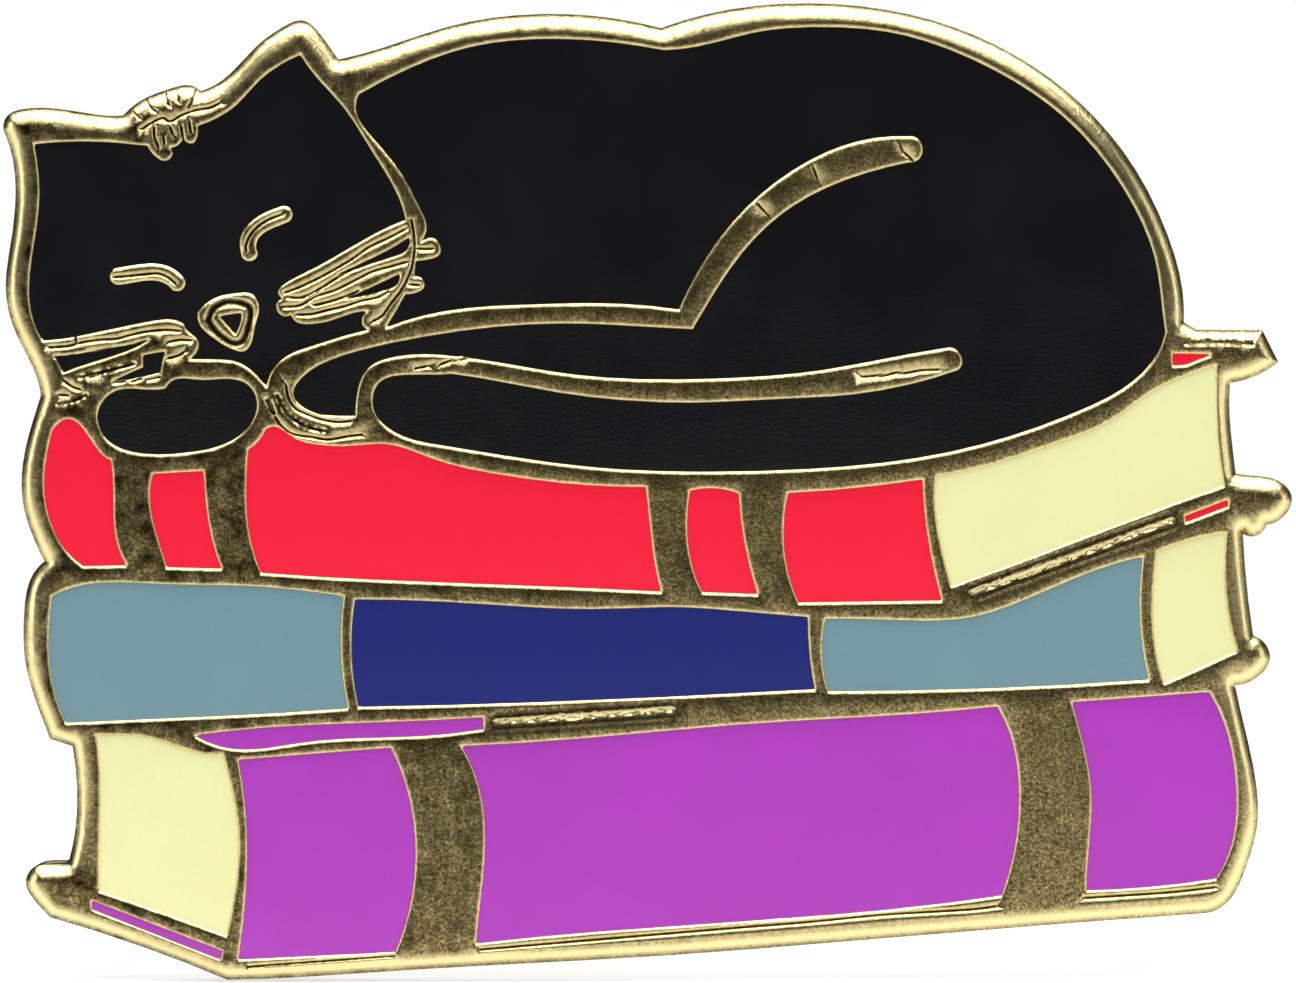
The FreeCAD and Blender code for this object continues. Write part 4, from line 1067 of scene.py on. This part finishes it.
def build_spring(side, x):
    """One-piece spring clip, made as two bent sheets that meet where a curl begins."""
    low, leaf_start = leaf_path(LOW_CURL, 1)
    bottom = [tuple(p) for p in np.linspace((REACH - OVERLAP, CLIP_BOTTOM),
                                            (-REACH, CLIP_BOTTOM), 30)[:-1]]
    path = bottom + low
    points, along = path_of(path)
    first = len(bottom) + leaf_start
    at = leaf_scale(points[first:, 0], along[first:])
    outlines = [leaf_outline(0.0, at, LOW_NECK), ring_outline(REACH - OVERLAP, CLIP_HOLE),
                ring_outline(at(0.0), LEAF_HOLE)]
    spring = bent_sheet("spring_low_" + side, x, path, outlines)
    finish_spring(spring)
    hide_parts("clutch_clip_" + side, "clutch_low_leaf_" + side)

    path, leaf_start = leaf_path(HIGH_CURL, -1)
    points, along = path_of(path)
    at = leaf_scale(-points[leaf_start:, 0], along[leaf_start:])
    start, end = (HIGH_CURL * math.radians(a) for a in WINDOW_TURN)
    window = rounded([(start, -WINDOW_SIDE), (end, -WINDOW_SIDE), (end, WINDOW_SIDE),
                      (start, WINDOW_SIDE)], 0.25, 5)
    outlines = [leaf_outline(OVERLAP, at, HIGH_NECK), resample(np.array(window), 0.1),
                ring_outline(at(0.0), LEAF_HOLE)]
    spring = bent_sheet("spring_high_" + side, x, path, outlines)
    finish_spring(spring)
    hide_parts("clutch_high_leaf_" + side)


def finish_spring(spring):
    """Gives the spring its material and bakes its placement into its mesh."""
    give(spring, CLIP_SPRING)
    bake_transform(spring)


def give(obj, material):
    obj.data.materials.clear()
    obj.data.materials.append(material)


# ------------ putting it together

CAGE_WELD, CAGE_FILLET, CAGE_SHARP = 0.001, 0.05, 35

base = build_base()
give(base, GOLD)
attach(base, "pin")
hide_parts("die_struck_base")
for node in cell_loops:
    colour = node.split("_")[1]
    fill = build_enamel(node)
    give(fill, PAINT[colour])
    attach(fill, "pin")
    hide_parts(node)

for side, x in (("left", -POST_X), ("right", POST_X)):
    build_post(side, x)
    build_disc(side, x)
    build_spring(side, x)
    cage = NODES["clutch_cage_" + side]
    give(cage, CLUTCH_PLATE)
    weld = cage.modifiers.new("weld", "WELD")
    weld.merge_threshold = CAGE_WELD * MM
    soften = cage.modifiers.new("soften", "BEVEL")
    soften.width = CAGE_FILLET * MM
    soften.segments = 3
    soften.limit_method = "ANGLE"
    soften.angle_limit = math.radians(CAGE_SHARP)
    soften.harden_normals = True


# ------------ stage, light and camera

# name, place and size in mm, and power in watts
LIGHTS = (
    ("light_top", (0, -38, 150), (260, 70), 0.32),
    ("light_left", (-150, -52, 15), (40, 140), 0.04),
    ("light_right", (150, -52, 15), (40, 140), 0.028),
    ("light_fill", (0, -130, 120), (160, 70), 0.125),
    ("light_back", (40, 150, 90), (160, 120), 0.2),
)
FLOOR_EDGE, FLOOR_GAP, WORLD_LIGHT = 900, 0.05, 0.07
CAMERA_AWAY, CAMERA_LENS, SENSOR = 136.6, 150, 36
WHITE = (1, 1, 1, 1)

for name, place, size, power in LIGHTS:
    lamp = bpy.data.lights.new(name, "AREA")
    lamp.shape = "RECTANGLE"
    lamp.size, lamp.size_y = (d * MM for d in size)
    lamp.energy = power
    holder = new_object(name, lamp)
    holder.location = Vector(place) * MM
    holder.rotation_euler = (-Vector(place)).to_track_quat("-Z", "Y").to_euler()

floor_mesh = bpy.data.meshes.new("floor")
edge = FLOOR_EDGE * MM
height = CAD_BOUNDS[0][2] - FLOOR_GAP * MM
corners = ((-edge, -edge), (edge, -edge), (edge, edge), (-edge, edge))
floor_mesh.from_pydata([(x, y, height) for x, y in corners], [], [(0, 1, 2, 3)])
floor = new_object("floor", floor_mesh)
# the sheet glows like a lit sweep: white behind the pin and softer in front of it
paper = Nodes("floor_paper")
depth = paper.add("ShaderNodeSeparateXYZ")
paper.link(paper.place, depth.inputs[0])
tone = paper.mixed(paper.spread(paper.noise(0.05, 2), 0.3, 0.7), (168, 168, 168), (160, 160, 160))
glow = paper.spread(depth.outputs["Y"], -40.0, 30.0, 0.3, 1.0)
paper.set(Base_Color=tone, Roughness=0.9, Emission_Strength=glow)
paper.shader.inputs["Emission Color"].default_value = WHITE
give(floor, paper.material)

# the surroundings look white, and light the pin only a little, so its flats stay dark
world = bpy.data.worlds.new("studio")
bpy.context.scene.world = world
world.use_nodes = True
tree = world.node_tree
dim = tree.nodes["Background"]
dim.inputs["Color"].default_value = WHITE
dim.inputs["Strength"].default_value = WORLD_LIGHT
shown = tree.nodes.new("ShaderNodeBackground")
shown.inputs["Color"].default_value = WHITE
ray = tree.nodes.new("ShaderNodeLightPath")
choose = tree.nodes.new("ShaderNodeMixShader")
tree.links.new(ray.outputs["Is Camera Ray"], choose.inputs[0])
tree.links.new(dim.outputs[0], choose.inputs[1])
tree.links.new(shown.outputs[0], choose.inputs[2])
tree.links.new(choose.outputs[0], tree.nodes["World Output"].inputs["Surface"])

camera = new_object("camera", bpy.data.cameras.new("camera"))
camera.data.lens = CAMERA_LENS
camera.data.sensor_width = SENSOR
camera.data.clip_start = 0.001
camera.location = (0, -CAMERA_AWAY * MM, 0)
camera.rotation_euler = (math.radians(90), 0, 0)
bpy.context.scene.camera = camera
bpy.context.scene.view_settings.view_transform = "Standard"
